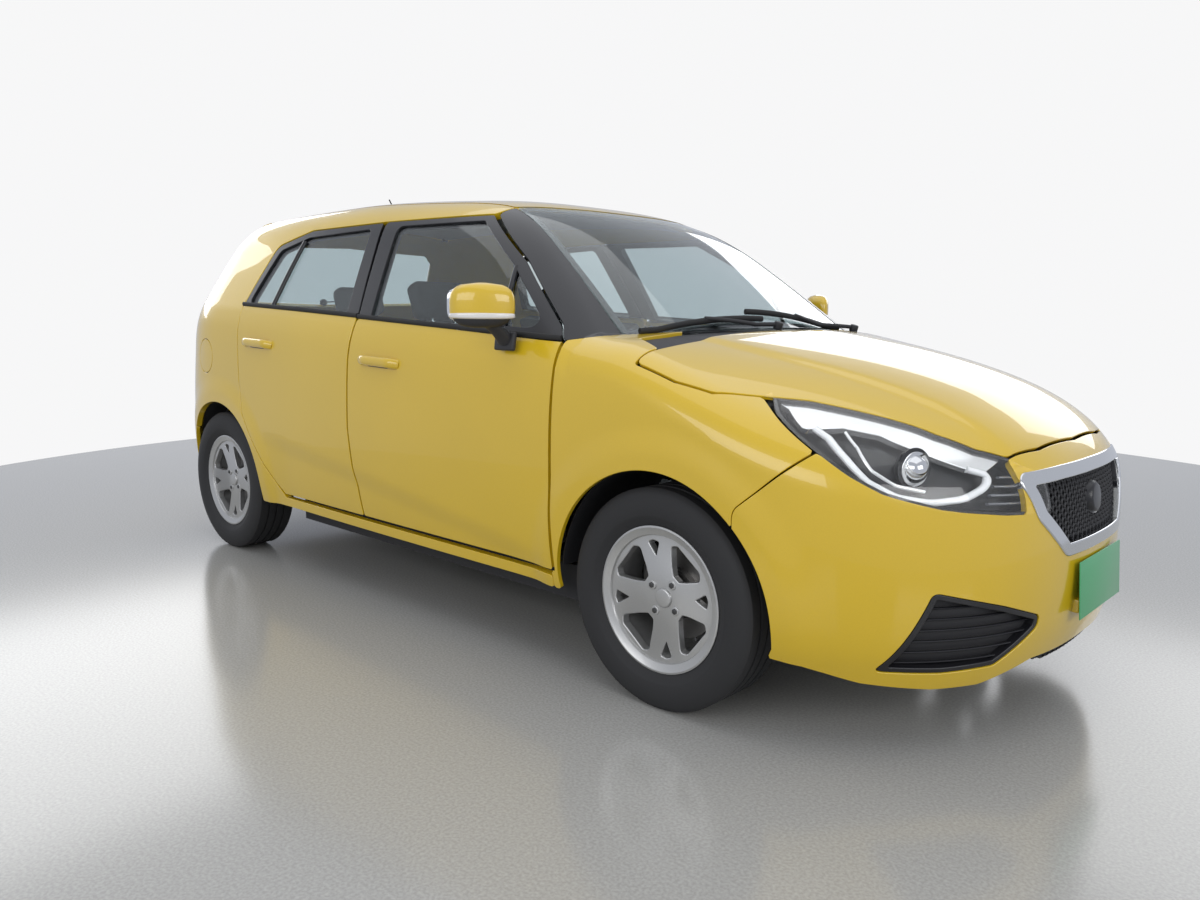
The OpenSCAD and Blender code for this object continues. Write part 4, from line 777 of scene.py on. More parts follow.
# ---- Tailgate ----
# A pressed steel lid with bonded glass in its upper half. It hangs on two hinges at the roof's rear
# edge.
lid_ring = mirrored("lid", [
    ("end", [[-1, 640], [-470, 640, 20], [-530, 700, 60], [-560, 800, 60], [-572, 1000, 60],
             [-630, 1077, 30], [-616, 1200, 80], [-571, 1360]]),
    ("plan", [[-1470, -556], [-1430, -545, 20], [-1428, -1]]),
])
lid_glass_ring = mirrored("lid", [("end", [[-1, 1100], [-520, 1112, 40], [-578, 1142, 25], [-520, 1338, 30],
                                           [-470, 1382, 30], [-1, 1400]])])
lid = skin_panel("tailgate_skin", "lid", lid_ring, holes=[lid_glass_ring], thick=24, gap=2.0,
                 material=yellow_paint, body="tailgate")
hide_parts("tailgate")
lid_glass = skin_panel("tailgate_glass_pane", "lid", lid_glass_ring, thick=4, gap=1.5, roll_r=1, sunk=3,
                       grid=30, material=window_glass, body="tailgate")
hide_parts("tailgate_glass")


# ---- Wheels ----
# Cast and painted alloy wheels: four Y spokes whose arms flare into the rim, four bolts and a blank
# cap. Each carries a grooved rubber tyre and turns over a steel brake disc on its knuckle or axle.
def walls(steps, rows, sides):
    """Four-sided faces between so many rings of points, each joined to the next one."""
    return [(i * sides + j, i * sides + (j + 1) % sides,
             (i + 1) % rows * sides + (j + 1) % sides, (i + 1) % rows * sides + j)
            for i in range(steps) for j in range(sides)]


def tube_faces(rows, sides):
    """The walls of a tube of rings, with a cap at each end."""
    return walls(rows - 1, rows, sides) + [tuple(range(sides)),
                                           tuple(range((rows - 1) * sides, rows * sides))]


def lathe(name, outline_, at, body, material, mirror=False, turns=96, sharp=35):
    """A ring turned about the axle from (radius, y) points; y counts outwards."""
    at = np.array(at, float)
    rows = np.array(outline_, float)
    a = np.arange(turns) * 2 * math.pi / turns
    radius = rows[:, None, 0]
    verts = np.stack([at[0] + radius * np.cos(a), at[1] - rows[:, None, 1] + 0 * a,
                      at[2] + radius * np.sin(a)], 2)
    if mirror:
        verts = verts * [1, -1, 1]
    return solid(name, verts.reshape(-1, 3), walls(len(rows), len(rows), turns), material, body, sharp)


def solid(name, verts, faces, material, body, sharp=35):
    """A closed mesh from millimetres, its faces turned outwards, smooth below the sharp angle."""
    mesh = bpy.data.meshes.new(name)
    mesh.from_pydata((np.asarray(verts, float) / 1000).tolist(), [],
                     [tuple(int(i) for i in f) for f in faces])
    work = bmesh.new()
    work.from_mesh(mesh)
    bmesh.ops.remove_doubles(work, verts=work.verts, dist=1e-6)
    bmesh.ops.recalc_face_normals(work, faces=work.faces)
    work.to_mesh(mesh)
    work.free()
    piece = bpy.data.objects.new(name, mesh)
    scene.collection.objects.link(piece)
    mesh.materials.append(material)
    bpy.ops.object.select_all(action="DESELECT")
    piece.select_set(True)
    bpy.context.view_layer.objects.active = piece
    bpy.ops.object.shade_smooth_by_angle(angle=math.radians(sharp))
    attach(piece, body)
    return piece


def block(name, size, at, material, body, bevel=3.0, turn=(0, 0, 0), steps=3):
    """A box with rounded edges, made and turned in place."""
    bpy.ops.object.select_all(action="DESELECT")
    bpy.ops.mesh.primitive_cube_add(size=1, location=Vector(at) / 1000,
                                    rotation=[math.radians(t) for t in turn])
    piece = bpy.context.object
    piece.name = name
    piece.scale = Vector(size) / 1000
    bpy.ops.object.transform_apply(location=False, rotation=False, scale=True)
    edge = piece.modifiers.new("edge", "BEVEL")
    edge.width, edge.segments, edge.limit_method = bevel / 1000, steps, "NONE"
    bpy.ops.object.modifier_apply(modifier="edge")
    bpy.ops.object.transform_apply(location=True, rotation=True, scale=True)
    bpy.ops.object.shade_smooth_by_angle(angle=math.radians(40))
    piece.data.materials.append(material)
    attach(piece, body)
    return piece


def drum(name, radius, length, at, along, material, body, bevel=1.5, sides=32, radius2=None):
    """A round boss or rod along a direction, with rounded rims."""
    bpy.ops.object.select_all(action="DESELECT")
    bpy.ops.mesh.primitive_cone_add(vertices=sides, radius1=radius / 1000,
                                    radius2=(radius if radius2 is None else radius2) / 1000,
                                    depth=length / 1000)
    piece = bpy.context.object
    piece.name = name
    edge = piece.modifiers.new("edge", "BEVEL")
    edge.width, edge.segments = bevel / 1000, 3
    edge.limit_method, edge.angle_limit = "ANGLE", math.radians(40)
    bpy.ops.object.modifier_apply(modifier="edge")
    piece.rotation_mode = "QUATERNION"
    piece.rotation_quaternion = Vector(along).to_track_quat("Z", "Y")
    piece.location = Vector(at) / 1000
    bpy.ops.object.transform_apply(location=True, rotation=True, scale=True)
    bpy.ops.object.shade_smooth_by_angle(angle=math.radians(40))
    piece.data.materials.append(material)
    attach(piece, body)
    return piece


def rod(name, path, radius, material, body, sides=12, flat=1.0, mirror=False):
    """A tube along points, its ends closed."""
    path = np.array(path, float)
    if mirror:
        path = path * [1, -1, 1]
    along = np.gradient(path, axis=0)
    along /= np.linalg.norm(along, axis=1)[:, None]
    up = np.cross(along, [0.02, 0.03, 1.0])
    up /= np.linalg.norm(up, axis=1)[:, None]
    wide = np.cross(along, up)
    a = np.arange(sides) * 2 * math.pi / sides
    across = np.cos(a)[None, :, None] * up[:, None] + flat * np.sin(a)[None, :, None] * wide[:, None]
    rings = path[:, None] + radius * across
    return solid(name, rings.reshape(-1, 3), tube_faces(len(path), sides), material, body, 50)


def join(name, pieces_):
    """Joins pieces of one body into the first, under one name."""
    bpy.ops.object.select_all(action="DESELECT")
    for piece in pieces_:
        piece.select_set(True)
    bpy.context.view_layer.objects.active = pieces_[0]
    bpy.ops.object.join()
    pieces_[0].name = name
    return pieces_[0]


alloy = grained("silver_painted_alloy", (0.50, 0.50, 0.49), 0.34, 400, 0.07, 0.05, metallic=0.75, coat=0.5,
                coat_roughness=0.10)
tyre_rubber = grained("tyre_rubber", (0.020, 0.020, 0.021), 0.72, 500, 0.16, 0.25)
cast_steel = grained("brushed_disc_steel", (0.33, 0.32, 0.31), 0.38, 300, 0.12, 0.15, metallic=0.9)
dark_bolt = grained("dark_wheel_bolt", (0.09, 0.09, 0.09), 0.40, 500, 0.1, 0.1, metallic=0.8)


def turned(points, degrees):
    a = math.radians(degrees)
    return [[x * math.cos(a) - y * math.sin(a), x * math.sin(a) + y * math.cos(a), *r] for x, y,
            *r in points]


BIG_WINDOW = [[72, -13, 10], [92, -33, 14], [137, -70, 18], [158, -52, 14], [163, 44, 14], [146, 62, 14],
              [94, 30, 14], [72, 12, 10]]
SMALL_WINDOW = [[112, 0, 5], [158, -25, 9], [166, 0, 20], [160, 21, 9]]
RIM = [[178, 808], [190, 812], [198, 816], [203, 815], [203, 806], [196, 800], [188, 780], [172, 760],
       [172, 690], [190, 668], [200, 660], [200, 655], [186, 660], [166, 686], [166, 760], [176, 786],
       [174, 800]]
DISC = [[20, 742], [70, 742], [72, 722], [128, 722], [128, 700], [20, 700]]
FACE_R, CAP_R, FACE_Y, DISH = 179, 20, 806, 20
BOLT_CIRCLE_R, FIRST_BOLT, VALVE_ANGLE, TYRE_Y = 50, 55, 325, 740
# Sections of the tyre, from its middle plane: inner wall, grooved tread, outer wall
INNER_WALL = [(-58, 199), (-70, 205), (-86, 228), (-91, 252), (-90, 272), (-86, 290), (-80, 300)]
TREAD = [(-72, 306), (-40, 306), (-39, 299), (-31, 299), (-30, 306), (-5, 306), (-4, 299),
         (4, 299), (5, 306), (30, 306), (31, 299), (39, 299), (40, 306), (72, 306)]
OUTER_WALL = [(80, 300), (86, 290), (90, 272), (91.5, 252), (88, 232), (87, 229), (85, 226), (76, 208),
              (68, 200),
              (58, 199)]
TYRE = [[r, TYRE_Y + y] for y, r in INNER_WALL + TREAD + OUTER_WALL]
round_ = np.linspace(0, 2 * math.pi, 101)[:-1]
face_ring = np.stack([FACE_R * np.cos(round_), FACE_R * np.sin(round_)], 1)
face_holes = [paced(fillet(turned(BIG_WINDOW, FIRST_BOLT + 90 * k)), 7) for k in range(4)]
face_holes += [paced(fillet(turned(SMALL_WINDOW, 10 + 90 * k)), 6) for k in range(4)]
for end, x in (("front", FRONT_AXLE), ("rear", REAR_AXLE)):
    for side, mirror in SIDES:
        def wheel_face(u, v, x=x):
            """The spokes' face, dished towards the cap and turned in at the rim."""
            r = np.hypot(u, v)
            t = np.clip((r - CAP_R) / 165, 0, 1)
            out = FACE_Y - DISH * (1 - ease((r - CAP_R) / 165)) - 5 * ease((r - 165) / 14)
            slope = (DISH * 6 * t * (1 - t)) / 165
            n = np.stack([slope * u / np.maximum(r, 1), -np.ones_like(u), slope * v / np.maximum(r, 1)], 1)
            return np.stack([x + u, -out, AXLE_Z + v], 1), n / np.linalg.norm(n, axis=1)[:, None]

        body = f"wheel_{end}_{side}"
        at, sign = (x, 0, AXLE_Z), (1 if mirror else -1)
        axle = (0, sign, 0)
        spokes = skin_panel(f"wheel_spokes_{end}_{side}", None, face_ring, holes=face_holes, thick=24,
                            gap=-3,
                            roll_r=3.5, grid=11, material=alloy, body=body, mirror=mirror,
                            surface=wheel_face)
        barrel = lathe(f"wheel_rim_{end}_{side}", RIM, at, body, alloy, mirror)
        hub = drum(f"wheel_cap_{end}_{side}", 29, 12, (x, sign * 788, AXLE_Z), axle, alloy, body, 4, 48, 26)
        seat = drum(f"wheel_hub_{end}_{side}", 62, 30, (x, sign * 766, AXLE_Z), axle, alloy, body, 4, 48)
        bolts = []
        for k in range(4):
            a = math.radians(FIRST_BOLT + 90 * k)
            px, pz = x + BOLT_CIRCLE_R * math.cos(a), AXLE_Z + BOLT_CIRCLE_R * math.sin(a)
            bolts.append(drum("bolt_seat", 15, 14, (px, sign * 784, pz), axle, alloy, body, 2, 24, 13))
            bolts.append(drum("bolt_head", 9.5, 16, (px, sign * 786, pz), axle, dark_bolt, body, 1.5, 6,
                              8.5))
        a = math.radians(VALVE_ANGLE)
        stem = [[x + r * math.cos(a), sign * y, AXLE_Z + r * math.sin(a)] for r,
                y in ((158, 772), (150, 790), (147, 800))]
        bolts.append(rod("valve", stem, 4, dark_bolt, body))
        wheel = join(f"wheel_alloy_{end}_{side}", [spokes, barrel, hub, seat] + bolts)
        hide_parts(body)
        tyre = lathe(f"tyre_{end}_{side}_rubber", TYRE, at, body, tyre_rubber, mirror, 128, 28)
        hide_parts(f"tyre_{end}_{side}")
        holder = f"knuckle_{side}" if end == "front" else "root"
        disc = lathe(f"brake_disc_{end}_{side}", DISC, at, holder, cast_steel, mirror, 64)

# ---- Door mirrors ----
# Mirrors on a stalk at the door's front corner: a painted cap over a black lower shell, with a clear
# turn lamp strip between them. They belong to the front doors.
def egg(name, centre, sizes, body, material, power=3.2, pinch=0.0, sweep=0.0, low=-1.0, high=1.0,
        mirror=False, n=40):
    """A rounded box form whose depth narrows and sweeps back along y."""
    verts = []
    a = np.linspace(0, 2 * math.pi, n, endpoint=False)
    rows = np.linspace(low, high, 15)
    for t in rows:
        k = max(1 - abs(t)**power, 0.0)**(1 / power)
        x = np.sign(np.cos(a)) * np.abs(np.cos(a))**(2 / 2.6) * sizes[0] * k
        y = np.sign(np.sin(a)) * np.abs(np.sin(a))**(2 / 2.6) * sizes[1] * k
        x = x * (1 - pinch * (0.5 - y / sizes[1] / 2)) + sweep * y
        verts.append(np.stack([centre[0] + x, centre[1] + y, centre[2] + t * sizes[2] + 0 * x], 1))
    verts = np.concatenate(verts)
    if mirror:
        verts = verts * [1, -1, 1]
    return solid(name, verts, tube_faces(len(rows), n), material, body, 38)


clear_lens = grained("clear_turn_lens", (0.72, 0.70, 0.66), 0.12, 300, 0.10, 0.05, coat=1.0)
mirror_glass = grained("silvered_mirror_glass", (0.80, 0.82, 0.84), 0.03, 60, 0.02, 0.0, metallic=1.0)
for side, mirror in SIDES:
    body, sign = "front_door_" + side, (1 if mirror else -1)
    cap = egg("mirror_cap_" + side, (590, -938, 1088), (62, 74, 66), body, yellow_paint, 3.0, 0.25, 0.55,
              -0.42, 0.999, mirror)
    shell = egg("mirror_shell_" + side, (588, -938, 1086), (58, 70, 62), body, black_plastic, 3.0, 0.25,
                0.55, -0.995, -0.40, mirror)
    lens = egg("mirror_turn_lamp_" + side, (592, -940, 1059), (63, 74, 11), body, clear_lens, 4.0, 0.25,
               0.55, -0.9, 0.9, mirror)
    stalk = rod("mirror_stalk_" + side, [[592, -850, 985], [594, -862, 1000], [594, -878, 1016],
                                         [592, -900, 1034], [590, -918, 1046]], 27, black_plastic,
                body, 16, 0.75, mirror)
    foot = block("mirror_foot_" + side, (86, 16, 56), (590, sign * 847, 984), black_plastic, body, 6,
                 (sign * 8, 0, 0))
    glass = egg("mirror_glass_" + side, (545, -944, 1090), (8, 60, 50), body, mirror_glass, 4, 0, 0.5,
                -0.95, 0.95, mirror)
    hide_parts("door_mirror_" + side)

# ---- Door handles and belt mouldings ----
# Yellow painted pull handles that stand over a flat gloss black patch, painted shade for the handle
# recess, black rubber strips under the window glass, and a gloss black post that parts each window's
# quarter light.
def on_side(points, sunk=0.0):
    """Skin points of places drawn in side view, sunk along the side chart's rays."""
    return on_chart("side", *side_spot(on_skin("side", points)).T, sunk)


for side, mirror in SIDES:
    for door, x, z in (("front", -78, 892), ("rear", -962, 930)):
        body = f"{door}_door_{side}"
        # Painted shade: a flat gloss black patch lying 0.4 mm proud of the skin behind the handle, where
        # the recess would be in shade
        cup = outline("side", [("side", [[x - 72, z - 16, 14], [x + 60, z - 20, 14],
                                         [x + 60, z + 14, 14], [x - 72, z + 18, 14]])])
        handle_shade_patch = skin_panel(f"{door}_handle_painted_shade_{side}", "side", cup, thick=2, gap=0, roll_r=0.5, sunk=-0.4,
                          grid=10, material=black_gloss,
                          body=body, mirror=mirror)
        line = on_side([[x + t, z - 0.03 * t] for t in np.linspace(-106, 106, 15)], -18)
        line[[0, -1]] = on_side([[x - 110, z + 3], [x + 110, z - 3]], 4)
        line[[1, -2]] = on_side([[x - 98, z + 3], [x + 98, z - 3]], -12)
        bar = rod(f"{door}_handle_{side}", line, 10, yellow_paint, body, 16, 1.7, mirror)
    for door, line in (("front", [[776, 996], [260, 1022], [-262, 1048]]),
                       ("rear", [[-270, 1051], [-700, 1072], [-1146, 1092]])):
        path = on_side(paced(np.array(line, float), 40, closed=False), -3)
        strip = rod(f"{door}_belt_moulding_{side}", path, 6, rubber_seal, f"{door}_door_{side}", 10, 1.5,
                    mirror)
    for door, low, high, wide in (("front", [520, 1020], [470, 1215], 9),
                                  ("rear", [-905, 1082], [-880, 1352], 11)):
        path = on_side(np.linspace(low, high, 12), 4)
        post = rod(f"{door}_quarter_post_{side}", path, wide, black_gloss, f"{door}_door_{side}", 10, 0.8,
                   mirror)

# ---- Fuel flap ----
# A round painted steel flap, flush in its hole in the right rear quarter, on a hinge at its front
# edge.
flap = skin_panel("fuel_flap_skin", "side", flap_ring, thick=5, gap=1.5, roll_r=1.5, grid=14,
                  material=yellow_paint, body="fuel_flap")
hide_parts("fuel_flap")

# ---- Headlamps ----
# A clear moulded cover over a black case, with a silver strip, a light guide in the shape of a J, a
# ringed projector and a ribbed turn lamp.
LAMP = [("side", [[1414, 874], [1466, 834, 30], [1540, 787], [1613, 741], [1680, 697, 60], [1746, 659, 80],
                  [1845, 622]]),
        ("nose", [[-560, 615, 40], [-450, 601, 40], [-330, 594]]),
        ("nose", [[-286, 598, 14], [-292, 676, 10], [-330, 704], [-368, 722]]),
        ("plan", [[1902, -376], [1850, -448, 80], [1774, -506, 100], [1600, -586, 100], [1500, -634, 100],
                  [1414, -698, 20]])]
lamp_ring = outline("lamp", LAMP)
clear_cover = clear_finish("clear_lamp_cover", (0.95, 0.96, 0.97), 0.01, 1.08, 0.6, 0.03, 20, 0.03)
silver = grained("bright_lamp_silver", (0.78, 0.79, 0.80), 0.16, 200, 0.05, 0.02, metallic=0.85)
guide_white = grained("milky_light_guide", (0.86, 0.88, 0.90), 0.22, 200, 0.03, 0.02, coat=1.0)
case_black = grained("lamp_case_black", (0.018, 0.019, 0.022), 0.30, 300, 0.08, 0.05)
turn_grey = grained("smoked_turn_lens", (0.17, 0.18, 0.20), 0.18, 120, 0.10, 0.05, coat=0.8)
chrome = grained("bright_chrome", (0.72, 0.73, 0.74), 0.10, 260, 0.04, 0.02, metallic=1.0)


def in_lamp(points, sunk):
    """Points drawn in side view, laid inside the lamp at a depth under its cover."""
    return on_chart("lamp", *lamp_spot(on_skin("side", points)).T, sunk)


for side, mirror in SIDES:
    sign = 1 if mirror else -1
    cover = skin_panel("headlamp_cover_" + side, "lamp", lamp_ring, thick=3, gap=2.5, roll_r=1.2, grid=16,
                       material=clear_cover, mirror=mirror)
    case = skin_panel("headlamp_case_" + side, "lamp", lamp_ring, thick=14, gap=1.5, roll_r=2, grid=18,
                      sunk=46, material=case_black, mirror=mirror)
    rim = skin_panel("headlamp_rim_" + side, "lamp", lamp_ring, holes=[offset(lamp_ring, 11)], thick=44,
                     gap=1.5, roll_r=1.5, grid=14, sunk=5,
                     material=case_black, mirror=mirror)
    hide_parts("headlamps")
    # Silver strip along the hood's edge, wide at its rear tip
    top = half_line("lamp", [("plan", [[1432, -698], [1500, -640], [1600, -594, 60], [1774, -514, 60],
                                       [1850, -456, 60], [1900, -386]])])
    low = half_line("lamp", [("side", [[1890, 700], [1800, 742], [1690, 790], [1610, 806], [1540, 802],
                                       [1470, 846]])])
    strip_ring = paced(np.concatenate([top, low]), 10)
    strip = skin_panel("headlamp_strip_" + side, "lamp", strip_ring, thick=16, gap=3, roll_r=2, grid=12,
                       sunk=14, material=silver, mirror=mirror)
    parts = [strip]
    spots = half_line("lamp", [("side", [[1560, 806], [1600, 786], [1655, 742, 40], [1712, 690, 60],
                                         [1770, 655, 60], [1830, 641, 60], [1880, 648, 40],
                                         [1905, 672, 30], [1898, 700, 30], [1862, 716]])], step=14)
    parts.append(rod("headlamp_guide_" + side, on_chart("lamp", *spots.T, 20), 11, guide_white, "root", 12,
                     0.8, mirror))
    spots = half_line("lamp", [("side", [[1620, 800], [1665, 766], [1712, 716, 40], [1765, 682, 60],
                                         [1815, 668]])], step=14)
    parts.append(rod("headlamp_inner_guide_" + side, on_chart("lamp", *spots.T, 22), 5, silver, "root", 10,
                     1, mirror))
    eye = in_lamp([[1778, 724]], 34)[0] * [1, -sign, 1]
    look = Vector((0.93, sign * 0.36, 0.02))
    for name, r1, r2, length, push, finish in (("cup", 52, 40, 26, 0, case_black),
                                               ("ring", 43, 40, 10, 12, chrome)):
        parts.append(drum("lamp_" + name, r2, length, np.array(eye) + np.array(look) * push, look, finish,
                          "root", 2.5, 48, r1 if name == "cup" else 43))
    bpy.ops.object.select_all(action="DESELECT")
    bpy.ops.mesh.primitive_uv_sphere_add(segments=40, ring_count=20, radius=0.034,
                                         location=Vector(eye + np.array(look) * 10) / 1000)
    ball = bpy.context.object
    bpy.ops.object.transform_apply(location=True)
    bpy.ops.object.shade_smooth()
    ball.name = "headlamp_projector_" + side
    ball.data.materials.append(chrome)
    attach(ball, "root")
    parts.append(ball)
    for k in range(4):
        z = 694 - 20 * k
        parts.append(rod(f"turn_rib_{k}",
                         in_lamp([[x, z - 0.14 * (x - 1900)] for x in np.linspace(1915, 1962 + 4 * k, 8)],
                                 24), 6, turn_grey, "root", 8, 0.6, mirror))
    inner = join("headlamp_parts_" + side, parts)

# ---- Grille ----
# A wide chrome frame round a shield-shaped opening, a black moulded mesh of six-sided cells before a
# black back plate, and a blank badge.
grille_frame = skin_panel("grille_frame", "nose", offset(grille_hole, -15), holes=[offset(grille_hole, 20)],
                          thick=30, gap=0.5, roll_r=4, sunk=-5, grid=12,
                          material=chrome)
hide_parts("grilles")
back = skin_panel("grille_back", "nose", grille_hole, thick=4, gap=1, sunk=40, grid=26, material=case_black)


def hexagons(name, ring, cell, bar, sunk, material, squeeze=0.8):
    """A mesh of open six-sided cells laid on the skin inside a ring."""
    lo, hi = ring.min(0), ring.max(0)
    verts, faces = [], []
    row = 0
    v = lo[1] + cell / 2
    while v < hi[1]:
        u = lo[0] + (row % 2) * cell * 0.87
        while u < hi[0]:
            turns = [math.radians(60 * k) for k in range(6)]
            corners = np.array([[u + cell * 0.98 * math.cos(t),
                                 v + cell * squeeze * math.sin(t)] for t in turns])
            inner_ = (corners - [u, v]) * (1 - bar / cell) + [u, v]
            if inside(np.array([[u, v]]), ring)[0] and inside(corners, ring).sum() >= 4:
                base = len(verts)
                both = np.concatenate([corners, inner_])
                front, deep = on_chart("nose", *both.T, sunk), on_chart("nose", *both.T, sunk + 12)
                front[:6] = on_chart("nose", *corners.T, sunk + 3)
                verts += list(front) + list(deep)
                for k in range(6):
                    j = (k + 1) % 6
                    faces += [(base + k, base + j, base + 6 + j, base + 6 + k),
                              (base + 12 + k, base + 18 + k, base + 18 + j, base + 12 + j),
                              (base + 6 + k, base + 6 + j, base + 18 + j, base + 18 + k),
                              (base + k, base + 12 + k, base + 12 + j, base + j)]
            u += cell * 1.74
        v += cell * squeeze * 0.87
        row += 1
    return solid(name, verts, faces, material, "root", 30)


mesh_ = hexagons("grille_mesh", offset(grille_hole, 14), 17, 5, 16, black_plastic)
badge_at = on_chart("nose", [0], [596], 14)[0]
badge = drum("grille_badge", 52, 22, badge_at, (1, 0, 0.12), black_gloss, "root", 6, 8, 40)

# ---- Air intakes ----
# Black moulded inserts: a gloss lip and level fins in each side opening, and a mesh of flat cells
# before a back plate, low in the middle.
for side, mirror in SIDES:
    insert = skin_panel("side_intake_" + side, "nose", side_hole, thick=5, gap=0.5, sunk=26, grid=20,
                        material=black_plastic, mirror=mirror)
    lip = skin_panel("side_intake_lip_" + side, "nose", side_hole, holes=[offset(side_hole, 15)], thick=28,
                     gap=0.6, roll_r=3, sunk=3, grid=14,
                     material=black_gloss, mirror=mirror)
    fins = [insert, lip]
    for z in (246, 274, 302, 330, 358, 386):
        flat = np.stack([np.linspace(side_hole[:, 0].min(), side_hole[:, 0].max(), 60),
                         np.full(60, float(z))], 1)
        flat = flat[inside(flat, offset(side_hole, 12))]
        fins.append(rod("fin", on_chart("nose", *flat.T, 17), 5, black_gloss, "root", 8, 0.6, mirror))
    fins = join("side_intake_insert_" + side, fins)
low_mesh = hexagons("lower_intake_mesh", intake_hole, 15, 5, 14, black_plastic, 0.6)
low_back = skin_panel("lower_intake_back", "nose", intake_hole, thick=4, gap=1, sunk=34, grid=26,
                      material=case_black)

# ---- Number plate ----
# A blank sheet plate with a green film, on a small painted bracket that is screwed to the bumper
# under the grille.
plate_green = grained("plate_green_film", (0.055, 0.36, 0.14), 0.35, 200, 0.08, 0.03, coat=0.4)
plate = block("number_plate", (3, 352, 150), (2033, 0, 378), plate_green, "root", 1.2, (0, -4, 0))
bracket = block("plate_bracket", (24, 300, 36), (2016, 0, 330), yellow_paint, "root", 4)

# ---- Tail lamps ----
# Red moulded lenses that wrap from the rear quarter up to the tailgate's edge, screwed to the side
# frames.
tail_red = grained("red_tail_lens", (0.42, 0.008, 0.010), 0.12, 160, 0.10, 0.05, coat=1.0)
TAIL_LAMP = [("side", [[-1735, 1052], [-1790, 930, 30], [-1900, 795, 20]]),
             ("end", [[-640, 772], [-566, 772]]),
             ("end", [[-578, 1000, 30], [-636, 1076, 20]])]
tail_ring = outline("rear", TAIL_LAMP)
for side, mirror in SIDES:
    lens = skin_panel("tail_lamp_lens_" + side, "rear", tail_ring, thick=14, gap=2, roll_r=3, grid=16,
                      material=tail_red, mirror=mirror)
    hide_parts("tail_lamps")


# ---- Rear end details ----
# On the tailgate: a blank plate on a flat black sheet that is painted shade for the plate recess, a
# chrome handle, a painted spoiler with a high brake lamp, and a wiper. On the bumper: two red
# reflectors and a black insert.
# Painted shade: this black sheet stands 2.5 mm proud of the tailgate skin, where the plate recess would lie
# in shade
plate_shade_patch = skin_panel("rear_plate_painted_shade", "lid",
                    outline("lid", [("end", [[-270, 700, 20], [270, 700, 20], [290, 880, 20],
                                             [-290, 880, 20]])]), thick=6,
                    gap=0, roll_r=2, sunk=-2.5, grid=20, material=black_plastic, body="tailgate")
spot = on_chart("lid", [0], [785], -5)[0]
rear_plate = block("rear_number_plate", (3, 440, 140), spot, plate_green, "tailgate", 1.2)
handle = block("tailgate_handle", (26, 420, 30), spot + [-6, 0, 118], chrome, "tailgate", 6)
WING = [[-1446, 1491], [-1500, 1484], [-1560, 1473], [-1612, 1460], [-1622, 1452], [-1612, 1440],
        [-1560, 1432], [-1500, 1426]]
WING_HALF = 515
rows = []
for y in np.linspace(-1, 1, 29):
    drop = 26 * abs(y)**3
    pull = 60 * abs(y)**2.5
    rows.append([[x + (pull if x < -1500 else 0) * (abs(x) - 1500) / 120, y * WING_HALF, z - drop]
                 for x, z in WING])
spoiler = solid("roof_spoiler", np.array(rows).reshape(-1, 3), tube_faces(len(rows), len(WING)),
                yellow_paint, "tailgate", 40)
stop_lamp = block("high_brake_lamp", (8, 260, 10), (-1620, 0, 1447), tail_red, "tailgate", 2.5)
spot = on_chart("lid", [0, 300], [1118, 1150], -12)
wiper = join("rear_wiper",
             [rod("arm", np.linspace(spot[0], spot[1], 8), 6, black_plastic, "tailgate", 10, 0.6),
                            drum("boss", 18, 20, spot[0] + [4, 0, 0], (-1, 0, 0), black_plastic, "tailgate",
                                 4)])
for side, mirror in SIDES:
    reflector = outline("rear", [("end", [[-700, 330, 8], [-560, 322, 8], [-560, 350, 8], [-700, 360, 8]])])
    piece = skin_panel("rear_reflector_" + side, "rear", reflector, thick=5, gap=0, roll_r=1.5, sunk=-2,
                       grid=14, material=tail_red, mirror=mirror)
skirt = skin_panel("rear_bumper_insert", "rear",
                   mirrored("rear", [("end", [[-1, 214], [-470, 214, 30], [-520, 250, 40], [-440, 330, 30],
                                              [-1, 336]])]),
                   thick=6, gap=0, roll_r=2, sunk=-2.5, grid=22, material=black_plastic)

# ---- Cowl, wipers and antenna ----
# A black grained cowl moulding under the windscreen, with two rubber wiper blades on black arms, and
# a short whip antenna on a round foot on the roof.
cowl_ring = mirrored("top", [("plan", [[1066, -1], [1064, -500], [1060, -694, 20], [966, -664, 10],
                                       [968, -300], [988, -1]])])
cowl = skin_panel("cowl_cover", "top", cowl_ring, thick=4, gap=-4, roll_r=1.5, sunk=9, grid=24,
                  material=black_plastic)
blades = []
for y0, y1 in ((-610, -40), (-90, 470)):
    x0, x1 = 925 - abs(y0) * 0.02, 958
    line = np.stack([np.linspace(x0, x1, 26), np.linspace(y0, y1, 26)], 1)
    blades.append(rod("blade", on_chart("top", *line.T, -8), 6, rubber_seal, "root", 8, 1.6))
    arm = np.stack([np.linspace(1012, (x0 + x1) / 2, 14), np.linspace(y1 + 10, (y0 + y1) / 2, 14)], 1)
    blades.append(rod("arm", on_chart("top", *arm.T, -14), 5, black_plastic, "root", 8, 1.4))
    blades.append(drum("pivot", 15, 26, on_chart("top", [1014], [y1 + 12], -10)[0], (0.3, 0, 1),
                       black_plastic, "root", 4))
wipers = join("windscreen_wipers", blades)
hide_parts("cowl_and_wipers")
whip = join("roof_antenna", [rod("mast", [[-1164, 0, 1508], [-1172, 0, 1520], [-1196, 0, 1552],
                                          [-1236, 0, 1602]], 3.2, rubber_seal, "root", 10),
                             drum("base", 17, 16, (-1164, 0, 1512), (0, 0, 1), black_plastic, "root", 5, 32,
                                  10)])
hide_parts("antenna")

